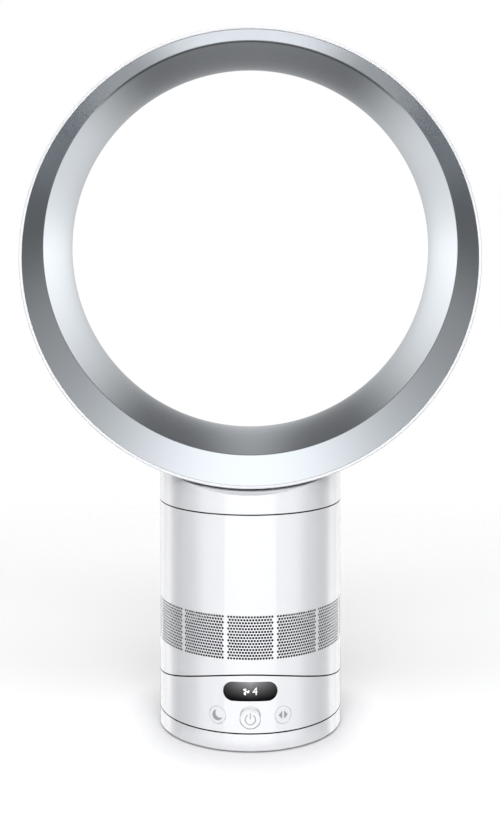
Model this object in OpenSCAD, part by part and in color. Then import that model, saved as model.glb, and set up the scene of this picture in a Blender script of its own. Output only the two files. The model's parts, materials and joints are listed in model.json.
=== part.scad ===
// Bladeless desk fan: a hollow ring on a column that tilts and swivels.
// Millimetres, +Z up, front towards -Y, origin at the centre of the foot's underside.

/* [Column] */
// Outer radius of the foot, base, body and neck
body_r = 73; // [66:0.5:80]
// Wall of the moulded casings
wall = 2.4; // [2:0.1:2.8]
// Gap at the seams between casings that move
seam = 0.6; // [0.5:0.05:0.8]
// Height of the foot, up to the middle of the swivel seam
foot_h = 14.5; // [13:0.1:17]
// Height of the base at its sides, between the swivel and tilt seams
base_h = 29.2; // [28:0.1:34]
// Height of the body at its sides, between the tilt and neck seams
body_h = 136.3; // [132:0.1:160]
// Height of the neck below the ring's lowest point
neck_h = 17.1; // [16:0.1:20]
// Radius of the curved tilt seam
tilt_r = 181.5; // [165:0.5:216]

/* [Motion] */
// Swing to each side of the front
swing_angle = 45; // [30:1:50]
// Tilt forwards and backwards
tilt_angle = 10; // [6:0.5:11]
// Turn of the nozzle that frees its bayonet
twist_angle = 20; // [18:1:24]
// Travel of a button
button_travel = 1; // [0.6:0.1:1.2]

/* [Ring] */
// Outer radius of the ring
ring_r = 178; // [150:1:200]
// Thickness of the ring at its sides, from the throat to the outer face
ring_section = 29; // [26:0.5:33]
// Height of the bore's axis above the axis of the outer face
bore_rise = 7.4; // [0:0.1:8.8]
// Front plane of the ring, ahead of the column's axis
ring_front = 59.6; // [54:0.1:66]
// Back plane of the ring, behind the column's axis
ring_back = 48; // [46:0.5:52]
// Wall of the outer shell, which shows as the rim
ring_wall = 2.5; // [2:0.1:3]
// Radius of the outer edge at the back
back_fillet = 8; // [5:0.5:9.5]
// Radius of the bore's mouth at the back
mouth_r = 12.4; // [12.2:0.1:14.5]
// Depth of that mouth, which stops short of its full round
mouth_depth = 12; // [10.5:0.5:12]
// Length of the lip in front of the mouth
lip_l = 0.5; // [0.4:0.1:0.8]
// Thickness of the lip's edge
lip_t = 1.2; // [1:0.1:1.4]
// How far the lip stands outside the throat
lip_step = 1.4; // [1.2:0.1:1.8]
// Width of the air slot
slot_w = 1.3; // [1.1:0.1:1.5]
// Radius of the inner casing's rounded nose, behind the throat
nose_r = 6; // [5.5:0.1:6.5]
// Wall of the inner casing
inner_wall = 2; // [1.7:0.1:2.4]
// How much the bore widens from the throat to the crease
flare = 12.2; // [11:0.2:13]
// Depth of the front taper, from the rim to the crease
taper_d = 14.6; // [12:0.2:17]

/* [Grille] */
// Panels round the body
grille_panels = 12; // [8:1:14]
// Solid strip between two panels
grille_gap_angle = 1.8; // [1:0.1:3]
// Height of the panels
grille_h = 35; // [30:0.5:41]
// Height of the panels' lower edge above the tilt seam at the sides
grille_rise = 25.8; // [25:0.2:28]
// Rows of holes
grille_rows = 5; // [3:1:6]
// Holes in a full row
grille_cols = 5; // [3:1:6]
// Diameter of a hole
grille_hole = 3.9; // [3.3:0.1:4.4]
// Margin from the edge holes' centres to the panel's edge
grille_margin = 3.6; // [3.2:0.1:4.2]

/* [Controls] */
// Width of the display window
display_w = 41.4; // [36:0.2:44]
// Height of the display window
display_h = 14.7; // [13:0.1:16]
// Drop of the display's centre below the front edge of the tilt seam
display_drop = 12.6; // [12:0.1:13.6]
// Diameter of the side buttons
button_d = 13.5; // [12:0.1:15]
// Angle of the side buttons from the front
button_angle = 20; // [18:0.5:24]
// Height of the side buttons above the swivel seam
button_rise = 13; // [12:0.1:13.6]
// Diameter of the power button
power_d = 16; // [14:0.1:17]
// Height of the power button above the swivel seam
power_rise = 11.2; // [11:0.1:12]
// Depth of the power button's face below the casing
power_depth = 1.4; // [1.1:0.1:1.7]

/* [Drive] */
// Module of the swing gears
gear_module = 1; // [0.9:0.05:1.1]
// Teeth of the fixed gear
sun_teeth = 52; // [44:4:56]
// Teeth of the pinion
pinion_teeth = 13; // [11:1:14]
// Width of the gears
gear_w = 5; // [4:0.5:6]
// Outer radius of the swivel spindle
spindle_r = 15; // [13:0.5:17]
// Outer radius of the impeller shroud's straight part
shroud_r = 55; // [50:0.5:58]
// Blades of the impeller
blades = 9; // [7:1:11]
// Vanes of the diffuser
vanes = 11; // [9:1:13]
// Outer radius of the motor bucket
bucket_r = 34; // [31:0.5:37]

/* [Hidden] */
$fn = 96;

// Colours, as they show on the fan
WHITE = [0.95, 0.95, 0.96];
SILVER = [0.62, 0.64, 0.68];
BLACK = [0.06, 0.06, 0.07];
GREY = [0.45, 0.46, 0.48];
RUBBER = [0.13, 0.13, 0.13];
STEEL = [0.7, 0.71, 0.73];
COPPER = [0.72, 0.43, 0.2];
GREEN = [0.08, 0.32, 0.18];
ACETAL = [0.88, 0.87, 0.82];

// Clearances
over = 1;            // overrun of every cut
fit_gap = 0.3;       // between pieces that move past each other
seat_gap = 0.1;      // between pieces that seat in one another
shaft_gap = 0.05;    // radial, in a bearing

// Heights of the seams and axes
tilt_seam_z = foot_h + base_h;
tilt_axis_z = tilt_seam_z + tilt_r;
neck_z = tilt_seam_z + body_h;
ring_z = neck_z + neck_h + ring_r;
bore_z = ring_z + bore_rise;
inner_r = body_r - wall;

// Screws, bosses and small steel parts
screw_r = 1.5;
screw_head_r = 3;
screw_head_t = 1.8;
screw_l = 9;
boss_r = 4.2;

// Foot
pad_t = 1.2;
pad_w = 17;
foot_lift = 0.8;      // the shell's edge above the table
foot_edge = 1;        // chamfer under the foot
plate_t = 2;
weight_t = 5;
weight_margin = 9;    // from the casing's inside
foot_top = foot_h - seam / 2;
plate_top = pad_t + plate_t;
foot_screw_z = pad_t + screw_head_t / 2;
foot_boss_gap = 4.3;  // from the pad to the screw heads
foot_boss_r = inner_r - fit_gap - pad_w - foot_boss_gap - screw_head_r;
foot_bosses = 4;
spindle_wall = 3.5;
spindle_flange_w = 8;
washer_in = 48;
washer_w = 8;
washer_sunk = 0.8;
stop_r = 40;          // radius at which the swing stop runs
stop_pin_r = 2.5;
gland_r = 3.5;
gland_bore_r = 2.8;
gland_lip = 0.6;      // step of the flanges on both sides of the wall
gland_flange = 1.2;
gland_z = (plate_top + foot_top - wall) / 2;

// Base
floor_z = foot_h + seam / 2;
floor_t = wall;
floor_top = floor_z + floor_t;
hub_w = 4;
hub_h = 1;
sun_z = floor_top + hub_h + fit_gap;
sun_pitch_r = gear_module * sun_teeth / 2;
addendum_share = 0.9;   // of the module
dedendum_share = 1.15;  // of the module
root_share = 0.3;       // of the pitch, half a tooth at its root
tip_share = 0.11;       // of the pitch, half a tooth at its tip
pinion_pitch_r = gear_module * pinion_teeth / 2;
pinion_y = sun_pitch_r + pinion_pitch_r;
clip_t = 1.2;
clip_w = 4;
spindle_top = sun_z + gear_w + clip_t + fit_gap;
bracket_t = 1.6;
bracket_z = sun_z + gear_w + fit_gap;
bracket_hx = 22;
bracket_hy = 10;
bracket_post_r = 3;
motor_r = 12.5;
motor_h = 11;
cradle_t = wall;
cradle_top_r = tilt_r + seam / 2;
cradle_r = cradle_top_r + cradle_t;
ledge_w = 2;          // inner ledges of the casings
cradle_post_x = 50;
cradle_post_y = 30;
post_top = tilt_seam_z - cradle_t;
cradle_screw_z = post_top + wall * 2 / 3;

// Tilt slots and the keepers that run in them
slot_x = 28;
stem_w = 3;
stem_angle = 2.5;     // half the stem's length
slot_angle = 0.3;     // spare at each end of the slot
keeper_w = 10;
keeper_t = 2.5;
slot_half_angle = tilt_angle + stem_angle + slot_angle;
shoe_r = tilt_r - seam / 2;

// Controls
display_z = tilt_axis_z - sqrt(tilt_r * tilt_r - body_r * body_r) - display_drop;
window_t = 1.6;
board_t = 1.2;
module_t = 3.4;
module_back_r = body_r - window_t - seat_gap - module_t;
module_angle = 14.2;  // half the display module's width
display_board_angle = 19;
display_board_h = 11;
display_board_y = (module_back_r - board_t) * cos(display_board_angle);
display_board_top = tilt_axis_z - sqrt(cradle_r * cradle_r - pow(display_board_y, 2)) - fit_gap;
module_h = 9.5;
ir_r = 1.6;
ir_angle = 1.8;       // from the module's edge to the receiver
board_depth = 12;     // from the casing's inside to the control board
board_r = inner_r - board_depth;
board_angle = 30;
board_h = 19;
switch_side = 6;
switch_t = 2.4;
plunger_r = 1.7;
plunger_l = 1;
button_flange = 1.2;  // wider than the cap, behind the casing
button_flange_t = 1.4;
stem_r = 2.5;
stem_end_r = board_r + switch_t + plunger_l + button_travel + seat_gap;
flange_gap = 0.9;
flange_front_r = inner_r - flange_gap;
board_x = 36;
board_w = 26;
board_l = 40;
standoff_h = 2;
standoff_r = 2.2;
capacitor_r = 5;
capacitor_h = 11;
choke_h = 9;
transformer_h = 13;

// Body
grille_z = tilt_seam_z + grille_rise;
panel_angle = 180 / grille_panels - grille_gap_angle / 2;
shelf_gap = 0.8;
shelf_z = grille_z + grille_h + shelf_gap;
shelf_w = 9;
shoe_boss_r = 18;
foam_rise = 17.3;     // above the tilt seam at the sides
foam_z = tilt_seam_z + foam_rise;
foam_t = 7.5;
foam_r = 62;
mount_t = 3;
mount_r = 3;
mounts = 6;
shroud_t = 2;
shroud_z = shelf_z + wall + mount_t;
shroud_inlet_r = 36;
shroud_lip = 3.4;     // how far the inlet reaches below the flange
cone_h = 19.6;
shroud_h = 55.6;
shroud_top = shroud_z + shroud_h;
shroud_in = shroud_r - shroud_t;
tip_gap = 0.8;
hub_z = shroud_z;
impeller_h = 22;
hub_nose_r = 12;
blade_t = 1.6;
blade_curve_r = 46;
blade_lean_angle = 24;
shaft_r = 3;
bucket_t = 2;
rotor_gap = 1;        // between the impeller and the bucket
bucket_z = hub_z + impeller_h + rotor_gap;
bucket_h = 39.5;
bucket_split = 16;    // height of the joint between its two halves
dome_h = 8;
dome_share = 0.55;    // of the bucket's radius, for the dome's flat top
bearing_t = 4;
bearing_r = 8;
bearing_seat = 2;
magnet_r = 10;
magnet_h = 12;
magnet_rise = 8;
magnet_z = bucket_z + magnet_rise;
magnet_gap = 0.8;
stator_yoke = 5;
pole_w = 8;
poles = 4;
coil_t = 2.6;
coil_over = 1.5;
bearing_rise = 3;
upper_bearing_z = magnet_z + magnet_h + bearing_rise;
web_z = upper_bearing_z + bearing_t;
vane_h = 15;
vane_rise = 7;
vane_z = bucket_z + vane_rise;
vane_t = 1.5;
vane_lean_angle = 20;
sleeve_t = 1.6;

// Bayonet between body and neck
collar_drop = 8;
collar_flange_z = neck_z - collar_drop;
collar_flange_t = 3;
collar_in = 56;
collar_t = 3.6;
collar_rise = 9.4;
collar_top = neck_z + collar_rise;
lug_free_angle = 4;   // between a lug and a lip when the nozzle is free
lug_angle = twist_angle - lug_free_angle;
stop_angle = 1.5;
lugs = 3;
lug_reach = 3.6;
lug_h = 4;
lip_h = 2.7;
lug_z = collar_top - lip_h - fit_gap - lug_h;
lug_gap = 0.8;
lug_ring_in = collar_in + collar_t + lug_reach + lug_gap;
casing_ledge_h = 4;
casing_ledge_w = 8.5;
screw_ring_r = (collar_in + collar_t + inner_r) / 2;

// Neck and duct
neck_bottom = neck_z + seam / 2;
saddle_gap = 2.2;
saddle_r = ring_r + saddle_gap;
deck_r = saddle_r + wall;
spigot_r = 44;
spigot_t = 2.2;
spigot_drop = 3.5;
spigot_bottom = neck_z - spigot_drop;
spigot_rise = 11.4;
spigot_top = neck_z + neck_h + spigot_rise;
neck_seal_h = 3;
splitter_w = 30;
splitter_l = 52;
seal_w = 6;
ring_screw_x = 50;
ring_screw_y = 28;
ring_screw_z = ring_z - sqrt(deck_r * deck_r - pow(ring_screw_x - screw_head_r, 2));
ring_screw_l = screw_l + wall;
ring_boss_top = ring_screw_z + ring_screw_l + over;

// Ring section, as radii about the bore's axis and heights towards the front
throat_r = ring_r - ring_section;
mouth_h = mouth_depth - ring_back;
lip_h0 = mouth_h + lip_l;
lip_r = throat_r + lip_step;
nose_centre_r = throat_r + nose_r;
nose_h = lip_h0 + sqrt(pow(nose_r + slot_w, 2) - pow(nose_centre_r - lip_r - lip_t, 2));
crease_r = throat_r + flare;
crease_h = ring_front - taper_d;
bore_l = norm([crease_r - nose_centre_r, crease_h - nose_h]);
// Slope of the bore, which leaves the nose as its tangent
bore_angle = atan2(crease_r - nose_centre_r, crease_h - nose_h) + asin(nose_r / bore_l);
rim_in = ring_r - ring_wall;
taper_r = rim_in - seat_gap;
skirt_l = 9.5;
skirt_t = 2;
rim_depth = 6.5;      // depth of the taper's solid edge at the rim
taper_foot = 3;       // width of the taper's foot on the inner casing
casing_flange = 4;    // width of the flange that the taper's foot seats on
back_seam_h = back_fillet - ring_back;  // where the outer shell meets the back
register_l = 4;       // reach of the back's register into the shell
rib_t = 1.5;
seal_t = 1.5;
seal_d = 1.8;
skin_sides = 120;
spacers = 12;
spacer_angle = 0.6;
spacer_d = 3;         // how far the spacers reach behind the mouth's widest point

// A tube on the column's axis
module tube(r_out, r_in, z0, z1) {
  difference() {
    translate([0, 0, z0]) cylinder(r = r_out, h = z1 - z0);
    translate([0, 0, z0 - over]) cylinder(r = r_in, h = z1 - z0 + 2 * over);
  }
}

// A disc on the column's axis
module disc(r, z0, z1) {
  translate([0, 0, z0]) cylinder(r = r, h = z1 - z0);
}

// A stretch of tube round the column, centred on the front
module front_arc(r_out, r_in, z0, z1, half) {
  rotate_extrude(angle = 2 * half, start = -90 - half)
    translate([r_in, z0]) square([r_out - r_in, z1 - z0]);
}

// Turns what is drawn at the front to an azimuth, positive to the right
module at_azimuth(a) {
  rotate([0, 0, a]) children();
}

// A round bar that points out of the front, between two radii from the column's axis
module radial_bar(r, from_r, to_r, z) {
  translate([0, -from_r, z]) rotate([90, 0, 0]) cylinder(r = r, h = to_r - from_r);
}

// A cylinder about the tilt axis
module tilt_round(r) {
  translate([-body_r - over, 0, tilt_axis_z]) rotate([0, 90, 0]) cylinder(r = r, h = 2 * (body_r + over));
}

// A curved bar about the tilt axis, at its lowest point
module tilt_arc(r_out, r_in, x0, x1, half) {
  translate([0, 0, tilt_axis_z]) rotate([0, 90, 0])
    rotate_extrude(angle = 2 * half, start = -half)
      translate([r_in, x0]) square([r_out - r_in, x1 - x0]);
}

// Turns a profile of [radius, height] about a ring axis, heights towards the front
module about_axis(z) {
  translate([0, 0, z]) rotate([90, 0, 0]) children();
}

// A cylinder about the ring's outer axis, between two heights towards the front
module ring_round(r, h0, h1) {
  about_axis(ring_z) translate([0, 0, h0]) cylinder(r = r, h = h1 - h0);
}

// A screw that points up, its head below z
module screw_up(z, l = screw_l) {
  translate([0, 0, z - screw_head_t]) cylinder(r = screw_head_r, h = screw_head_t);
  translate([0, 0, z]) cylinder(r = screw_r, h = l);
}

// A screw that points down, its head on z
module screw_down(z, l = screw_l) {
  translate([0, 0, z]) cylinder(r = screw_head_r, h = screw_head_t);
  translate([0, 0, z - l]) cylinder(r = screw_r, h = l);
}

// Places at the foot's screw bosses
module at_foot_bosses() {
  for (i = [0 : foot_bosses - 1])
    rotate([0, 0, 45 + i * 360 / foot_bosses]) translate([foot_boss_r, 0, 0]) children();
}

// Places at the posts under the tilt cradle
module at_cradle_posts() {
  for (x = [-1, 1], y = [-1, 1])
    translate([x * cradle_post_x, y * cradle_post_y, 0]) children();
}

// Places at the screws that hold the ring on the neck
module at_ring_screws() {
  for (x = [-1, 1], y = [-1, 1])
    translate([x * ring_screw_x, y * ring_screw_y, 0]) children();
}

// Outline of a spur gear with straight flanks, a tooth on +X
module gear_outline(teeth) {
  pitch = 360 / teeth;
  tip_r = gear_module * (teeth / 2 + addendum_share);
  root_r = gear_module * (teeth / 2 - dedendum_share);
  polygon([for (i = [0 : teeth - 1], k = [-1, 1], s = [0, 1])
    let (
      at_tip = (k < 0) == (s == 1),
      r = at_tip ? tip_r : root_r,
      a = pitch * (i + k * (at_tip ? tip_share : root_share))
    )
    [r * cos(a), r * sin(a)]]);
}

// Foot: stands still on the table

// A round bar that points out of the back at the gland
module gland_bar(r, from_y, to_y) {
  translate([0, to_y, gland_z]) rotate([90, 0, 0]) cylinder(r = r, h = to_y - from_y);
}

module foot_shell() {
  color(WHITE) difference() {
    union() {
      rotate_extrude() polygon([
        [0, foot_top - wall],
        [inner_r, foot_top - wall],
        [inner_r, foot_lift],
        [body_r - foot_edge, foot_lift],
        [body_r, foot_lift + foot_edge],
        [body_r, foot_top],
        [0, foot_top]
      ]);
      at_foot_bosses() disc(boss_r, plate_top, foot_top - wall);
      translate([0, -stop_r, 0]) disc(stop_pin_r, foot_top - over, floor_top - fit_gap);
    }
    disc(spindle_r + shaft_gap, foot_top - wall - over, foot_top + over);
    tube(washer_in + washer_w + seat_gap, washer_in - seat_gap, foot_top - washer_sunk, foot_top + over);
    at_foot_bosses() disc(screw_r, plate_top - over, foot_screw_z + screw_l + seat_gap);
    gland_bar(gland_r, inner_r - over, body_r + over);
    gland_bar(gland_r + gland_lip, body_r - gland_flange, body_r + over);
  }
}

module foot_plate() {
  color(BLACK) difference() {
    disc(inner_r - fit_gap, pad_t, plate_top);
    disc(spindle_r - spindle_wall, pad_t - over, plate_top + over);
    at_foot_bosses() disc(screw_r + seat_gap, pad_t - over, plate_top + over);
    at_foot_bosses() disc(screw_head_r + seat_gap, pad_t - over, foot_screw_z);
  }
}

module foot_pad() {
  color(RUBBER) tube(inner_r - fit_gap, inner_r - fit_gap - pad_w, 0, pad_t);
}

module weight_plate() {
  color(STEEL) difference() {
    tube(inner_r - weight_margin, spindle_r + spindle_flange_w + fit_gap, plate_top, plate_top + weight_t);
    at_foot_bosses() disc(boss_r + fit_gap, plate_top - over, plate_top + weight_t + over);
  }
}

module swivel_spindle() {
  color(STEEL) difference() {
    union() {
      disc(spindle_r, plate_top, spindle_top);
      disc(spindle_r + spindle_flange_w, plate_top + weight_t, foot_top - wall);
    }
    disc(spindle_r - spindle_wall, plate_top - over, spindle_top + over);
    tube(spindle_r + over, spindle_r - clip_t, sun_z + gear_w, sun_z + gear_w + clip_t);
  }
}

module swivel_washer() {
  color(ACETAL) tube(washer_in + washer_w, washer_in, foot_top - washer_sunk, floor_z - seam / 3);
}

module sun_gear() {
  color(ACETAL) translate([0, 0, sun_z]) difference() {
    linear_extrude(gear_w) rotate(90) gear_outline(sun_teeth);
    translate([0, 0, -over]) cylinder(r = spindle_r + shaft_gap, h = gear_w + 2 * over);
  }
}

module spindle_clip() {
  color(STEEL) difference() {
    tube(spindle_r + clip_w, spindle_r - clip_t, sun_z + gear_w, sun_z + gear_w + clip_t);
    translate([-spindle_r / 2, -body_r, sun_z + gear_w - over])
      cube([spindle_r, body_r, clip_t + 2 * over]);
  }
}

module cord_gland() {
  inner_lip_y = sqrt(inner_r * inner_r - pow(gland_r + gland_lip, 2));
  color(RUBBER) difference() {
    union() {
      gland_bar(gland_r, inner_lip_y - gland_flange, body_r);
      gland_bar(gland_r + gland_lip, body_r - gland_flange, body_r);
      gland_bar(gland_r + gland_lip, inner_lip_y - gland_flange, inner_lip_y);
    }
    gland_bar(gland_bore_r, inner_lip_y - gland_flange - over, body_r + over);
  }
}

module foot_screws() {
  color(STEEL) at_foot_bosses() screw_up(foot_screw_z);
}

// Base: swings on the foot

module pill(w, h) {
  square([w - h, h], center = true);
  for (x = [-1, 1])
    translate([x * (w - h) / 2, 0]) circle(d = h);
}

// A pill-shaped bar that points out of the front
module display_bar(w, h) {
  translate([0, -inner_r / 2, display_z]) rotate([90, 0, 0]) linear_extrude(body_r) pill(w, h);
}

module button_holes() {
  for (a = [-button_angle, button_angle])
    at_azimuth(a) radial_bar(button_d / 2, inner_r / 2, body_r + over, foot_h + button_rise);
  radial_bar(power_d / 2, inner_r / 2, body_r + over, foot_h + power_rise);
}

module base_shell() {
  scoop_r = power_d / 2 + power_depth;
  color(WHITE) difference() {
    tube(body_r, inner_r, floor_z, tilt_axis_z);
    tilt_round(cradle_top_r);
    button_holes();
    display_bar(display_w, display_h);
    translate([0, -body_r - scoop_r + power_depth, foot_h + power_rise + power_depth]) sphere(r = scoop_r);
  }
  color(WHITE) difference() {
    tube(inner_r + seat_gap, inner_r - ledge_w, floor_top, floor_top + ledge_w);
    radial_bar(power_d / 2 + button_flange + fit_gap, inner_r / 2, inner_r + over, foot_h + power_rise);
  }
}

module turntable() {
  stop_half_angle = swing_angle + asin((stop_pin_r + fit_gap) / stop_r);
  board_corner_x = board_w / 2 - standoff_r;
  board_corner_y = board_l / 2 - standoff_r;
  color(GREY) difference() {
    union() {
      disc(inner_r - seat_gap, floor_z, floor_top);
      disc(spindle_r + hub_w, floor_z, floor_top + hub_h);
      at_cradle_posts() disc(boss_r, floor_z, post_top);
      for (x = [-1, 1])
        translate([x * (bracket_hx - bracket_post_r), pinion_y, 0])
          disc(bracket_post_r, floor_z, bracket_z);
      for (x = [-1, 1], y = [-1, 1])
        translate([-board_x - board_w / 2 + x * board_corner_x, y * board_corner_y, 0])
          disc(standoff_r, floor_z, floor_top + standoff_h);
    }
    disc(spindle_r + shaft_gap, floor_z - over, floor_top + hub_h + over);
    front_arc(stop_r + stop_pin_r + fit_gap, stop_r - stop_pin_r - fit_gap,
      floor_z - over, floor_top + over, stop_half_angle);
    at_cradle_posts() disc(screw_r, cradle_screw_z - screw_l - seat_gap, post_top + over);
  }
}

module tilt_cradle() {
  color(GREY) difference() {
    union() {
      intersection() {
        disc(inner_r - seat_gap, floor_top, tilt_axis_z - tilt_r / 2);
        tilt_round(cradle_r);
      }
      at_cradle_posts() disc(boss_r, post_top, tilt_seam_z + cradle_t);
    }
    tilt_round(cradle_top_r);
    for (x = [-1, 1])
      tilt_arc(cradle_r + over, cradle_top_r - over, x * slot_x - stem_w / 2 - fit_gap,
        x * slot_x + stem_w / 2 + fit_gap, slot_half_angle);
    at_cradle_posts() disc(screw_r + seat_gap, floor_top, tilt_axis_z);
    at_cradle_posts() disc(screw_head_r + seat_gap, cradle_screw_z, tilt_axis_z);
  }
}

module display_window() {
  color(BLACK) intersection() {
    tube(body_r, body_r - window_t, floor_z, tilt_axis_z);
    display_bar(display_w - seat_gap, display_h - seat_gap);
  }
}

module display_module() {
  color(BLACK) front_arc(module_back_r + module_t, module_back_r, display_z - module_h / 2,
    display_z + module_h / 2, module_angle);
}

module display_board() {
  color(GREEN) front_arc(module_back_r, module_back_r - board_t, display_board_top - display_board_h,
    display_board_top, display_board_angle);
}

module ir_receiver() {
  color(BLACK) at_azimuth(module_angle + ir_angle) difference() {
    radial_bar(ir_r, module_back_r - over, module_back_r + module_t / 2, display_z);
    disc(module_back_r, floor_z, tilt_axis_z);
  }
}

module control_board() {
  color(GREEN) front_arc(board_r, board_r - board_t, floor_top, floor_top + board_h, board_angle);
}

module tact_switch(z) {
  difference() {
    translate([-switch_side / 2, -board_r - switch_t, z - switch_side / 2])
      cube([switch_side, switch_t + over, switch_side]);
    disc(board_r, floor_z, tilt_axis_z);
  }
  radial_bar(plunger_r, board_r + switch_t, board_r + switch_t + plunger_l, z);
}

module tact_switches() {
  color(BLACK) {
    for (a = [-button_angle, button_angle])
      at_azimuth(a) tact_switch(foot_h + button_rise);
    tact_switch(foot_h + power_rise);
  }
}

module power_board() {
  z = floor_top + standoff_h;
  color(GREEN) translate([-board_x - board_w, -board_l / 2, z]) cube([board_w, board_l, board_t]);
  color(BLACK) translate([-board_x - board_w / 2, board_l / 4, z + board_t])
    cylinder(r = capacitor_r, h = capacitor_h);
  color(COPPER) translate([-board_x - board_w * 3 / 4, -board_l / 3, z + board_t])
    cube([board_w / 2, board_l / 3, transformer_h]);
  color(BLACK) translate([-board_x - board_w * 3 / 4, board_l / 3, z + board_t])
    cube([board_w / 4, board_l / 8, choke_h]);
}

module swing_motor() {
  color(STEEL) translate([0, pinion_y, bracket_z + bracket_t]) difference() {
    cylinder(r = motor_r, h = motor_h);
    translate([0, 0, -over]) cylinder(r = stem_r, h = motor_h / 2);
  }
}

module motor_bracket() {
  color(STEEL) difference() {
    translate([-bracket_hx, pinion_y - bracket_hy, bracket_z])
      cube([2 * bracket_hx, 2 * bracket_hy, bracket_t]);
    translate([0, pinion_y, bracket_z - over]) cylinder(r = stem_r, h = bracket_t + 2 * over);
  }
}

module base_screws() {
  color(STEEL) at_cradle_posts() screw_down(cradle_screw_z);
}

module swing_pinion() {
  drive_r = stem_r - fit_gap;
  color(ACETAL) translate([0, pinion_y, sun_z])
    linear_extrude(gear_w) rotate(-90 + 180 / pinion_teeth) gear_outline(pinion_teeth);
  color(ACETAL) translate([0, pinion_y, sun_z]) cylinder(r = drive_r, h = gear_w + bracket_t + motor_h / 3);
}

// Buttons: slide into the base

module button(d, face_r, z) {
  color(WHITE) intersection() {
    union() {
      radial_bar(d / 2 - fit_gap, flange_front_r - button_flange_t, body_r, z);
      radial_bar(d / 2 + button_flange, flange_front_r - button_flange_t, flange_front_r, z);
      radial_bar(stem_r, stem_end_r, flange_front_r, z);
    }
    disc(face_r, floor_top + fit_gap, tilt_axis_z);
  }
}

module power_button() {
  button(power_d, body_r - power_depth, foot_h + power_rise);
}

module sleep_button() {
  at_azimuth(-button_angle) button(button_d, body_r, foot_h + button_rise);
}

module swing_button() {
  at_azimuth(button_angle) button(button_d, body_r, foot_h + button_rise);
}

// Body: tilts on the base

module at_panels() {
  for (i = [0 : grille_panels - 1])
    at_azimuth(i * 360 / grille_panels) children();
}

module body_casing() {
  color(WHITE) difference() {
    union() {
      intersection() {
        tube(body_r, inner_r, tilt_seam_z - over, neck_z - seam / 2);
        tilt_round(shoe_r);
      }
      tube(inner_r + seat_gap, inner_r - shelf_w, shelf_z, shelf_z + wall);
      tube(inner_r + seat_gap, inner_r - casing_ledge_w, collar_flange_z - casing_ledge_h, collar_flange_z);
      for (i = [0 : lugs - 1])
        rotate([0, 0, 90 + i * 360 / lugs]) translate([screw_ring_r, 0, 0])
          disc(boss_r, collar_flange_z - screw_l, collar_flange_z - casing_ledge_h / 2);
    }
    at_panels() front_arc(body_r + over, inner_r - over, grille_z, grille_z + grille_h, panel_angle);
    for (i = [0 : lugs - 1])
      rotate([0, 0, 90 + i * 360 / lugs]) translate([screw_ring_r, 0, 0])
        disc(screw_r, collar_flange_z - screw_l + wall, collar_flange_z + over);
  }
}

module inlet_grille() {
  margin_angle = asin(grille_margin / body_r);
  step_z = (grille_h - 2 * grille_margin) / (grille_rows - 1);
  step_a = 2 * (panel_angle - margin_angle) / (grille_cols - 1);
  color(WHITE) at_panels() difference() {
    front_arc(body_r, inner_r, grille_z, grille_z + grille_h, panel_angle);
    for (row = [0 : grille_rows - 1], col = [0 : grille_cols - 1 - row % 2])
      at_azimuth(margin_angle - panel_angle + (col + row % 2 / 2) * step_a)
        radial_bar(grille_hole / 2, inner_r - wall, body_r + over, grille_z + grille_margin + row * step_z);
  }
}

module tilt_shoe() {
  color(GREY) union() {
    difference() {
      intersection() {
        disc(inner_r - seat_gap, tilt_seam_z - over, tilt_axis_z - tilt_r / 2);
        tilt_round(shoe_r);
      }
      tilt_round(shoe_r - wall);
    }
    for (x = [-1, 1])
      tilt_arc(cradle_r + fit_gap, shoe_r - wall / 2, x * slot_x - stem_w / 2,
        x * slot_x + stem_w / 2, stem_angle);
    intersection() {
      disc(shoe_boss_r, tilt_seam_z - over, foam_z);
      tilt_round(shoe_r - wall / 2);
    }
  }
}

module tilt_keepers() {
  color(ACETAL)
    for (x = [-1, 1])
      tilt_arc(cradle_r + fit_gap + keeper_t, cradle_r + fit_gap, x * slot_x - keeper_w / 2,
        x * slot_x + keeper_w / 2, stem_angle);
}

module silencer_foam() {
  color(RUBBER) disc(foam_r, foam_z, foam_z + foam_t);
}

module shroud_mounts() {
  color(RUBBER)
    for (i = [0 : mounts - 1])
      rotate([0, 0, i * 360 / mounts]) translate([inner_r - shelf_w / 2, 0, 0])
        disc(mount_r, shelf_z + wall, shroud_z);
}

module impeller_shroud() {
  color(GREY) {
    rotate_extrude() polygon([
      [shroud_inlet_r, shroud_z - shroud_lip],
      [shroud_inlet_r, shroud_z],
      [shroud_in, shroud_z + cone_h],
      [shroud_in, shroud_top],
      [shroud_r, shroud_top],
      [shroud_r, shroud_z + cone_h - shroud_t / 2],
      [shroud_inlet_r + shroud_t * 2, shroud_z + shroud_t],
      [inner_r - fit_gap, shroud_z + shroud_t],
      [inner_r - fit_gap, shroud_z],
      [shroud_inlet_r + shroud_t, shroud_z],
      [shroud_inlet_r + shroud_t, shroud_z - shroud_lip]
    ]);
    rotate_extrude() translate([shroud_inlet_r + shroud_t, shroud_z - shroud_lip]) circle(r = shroud_t);
  }
}

module diffuser() {
  color(GREY) {
    tube(bucket_r + sleeve_t, bucket_r, vane_z, vane_z + vane_h);
    for (i = [0 : vanes - 1])
      rotate([0, 0, i * 360 / vanes]) intersection() {
        tube(shroud_in - seat_gap, bucket_r + sleeve_t / 2, vane_z, vane_z + vane_h);
        translate([bucket_r, 0, vane_z + vane_h / 2]) rotate([vane_lean_angle, 0, 0])
          translate([0, -vane_t / 2, -vane_h]) cube([shroud_r - bucket_r, vane_t, 2 * vane_h]);
      }
  }
}

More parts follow.
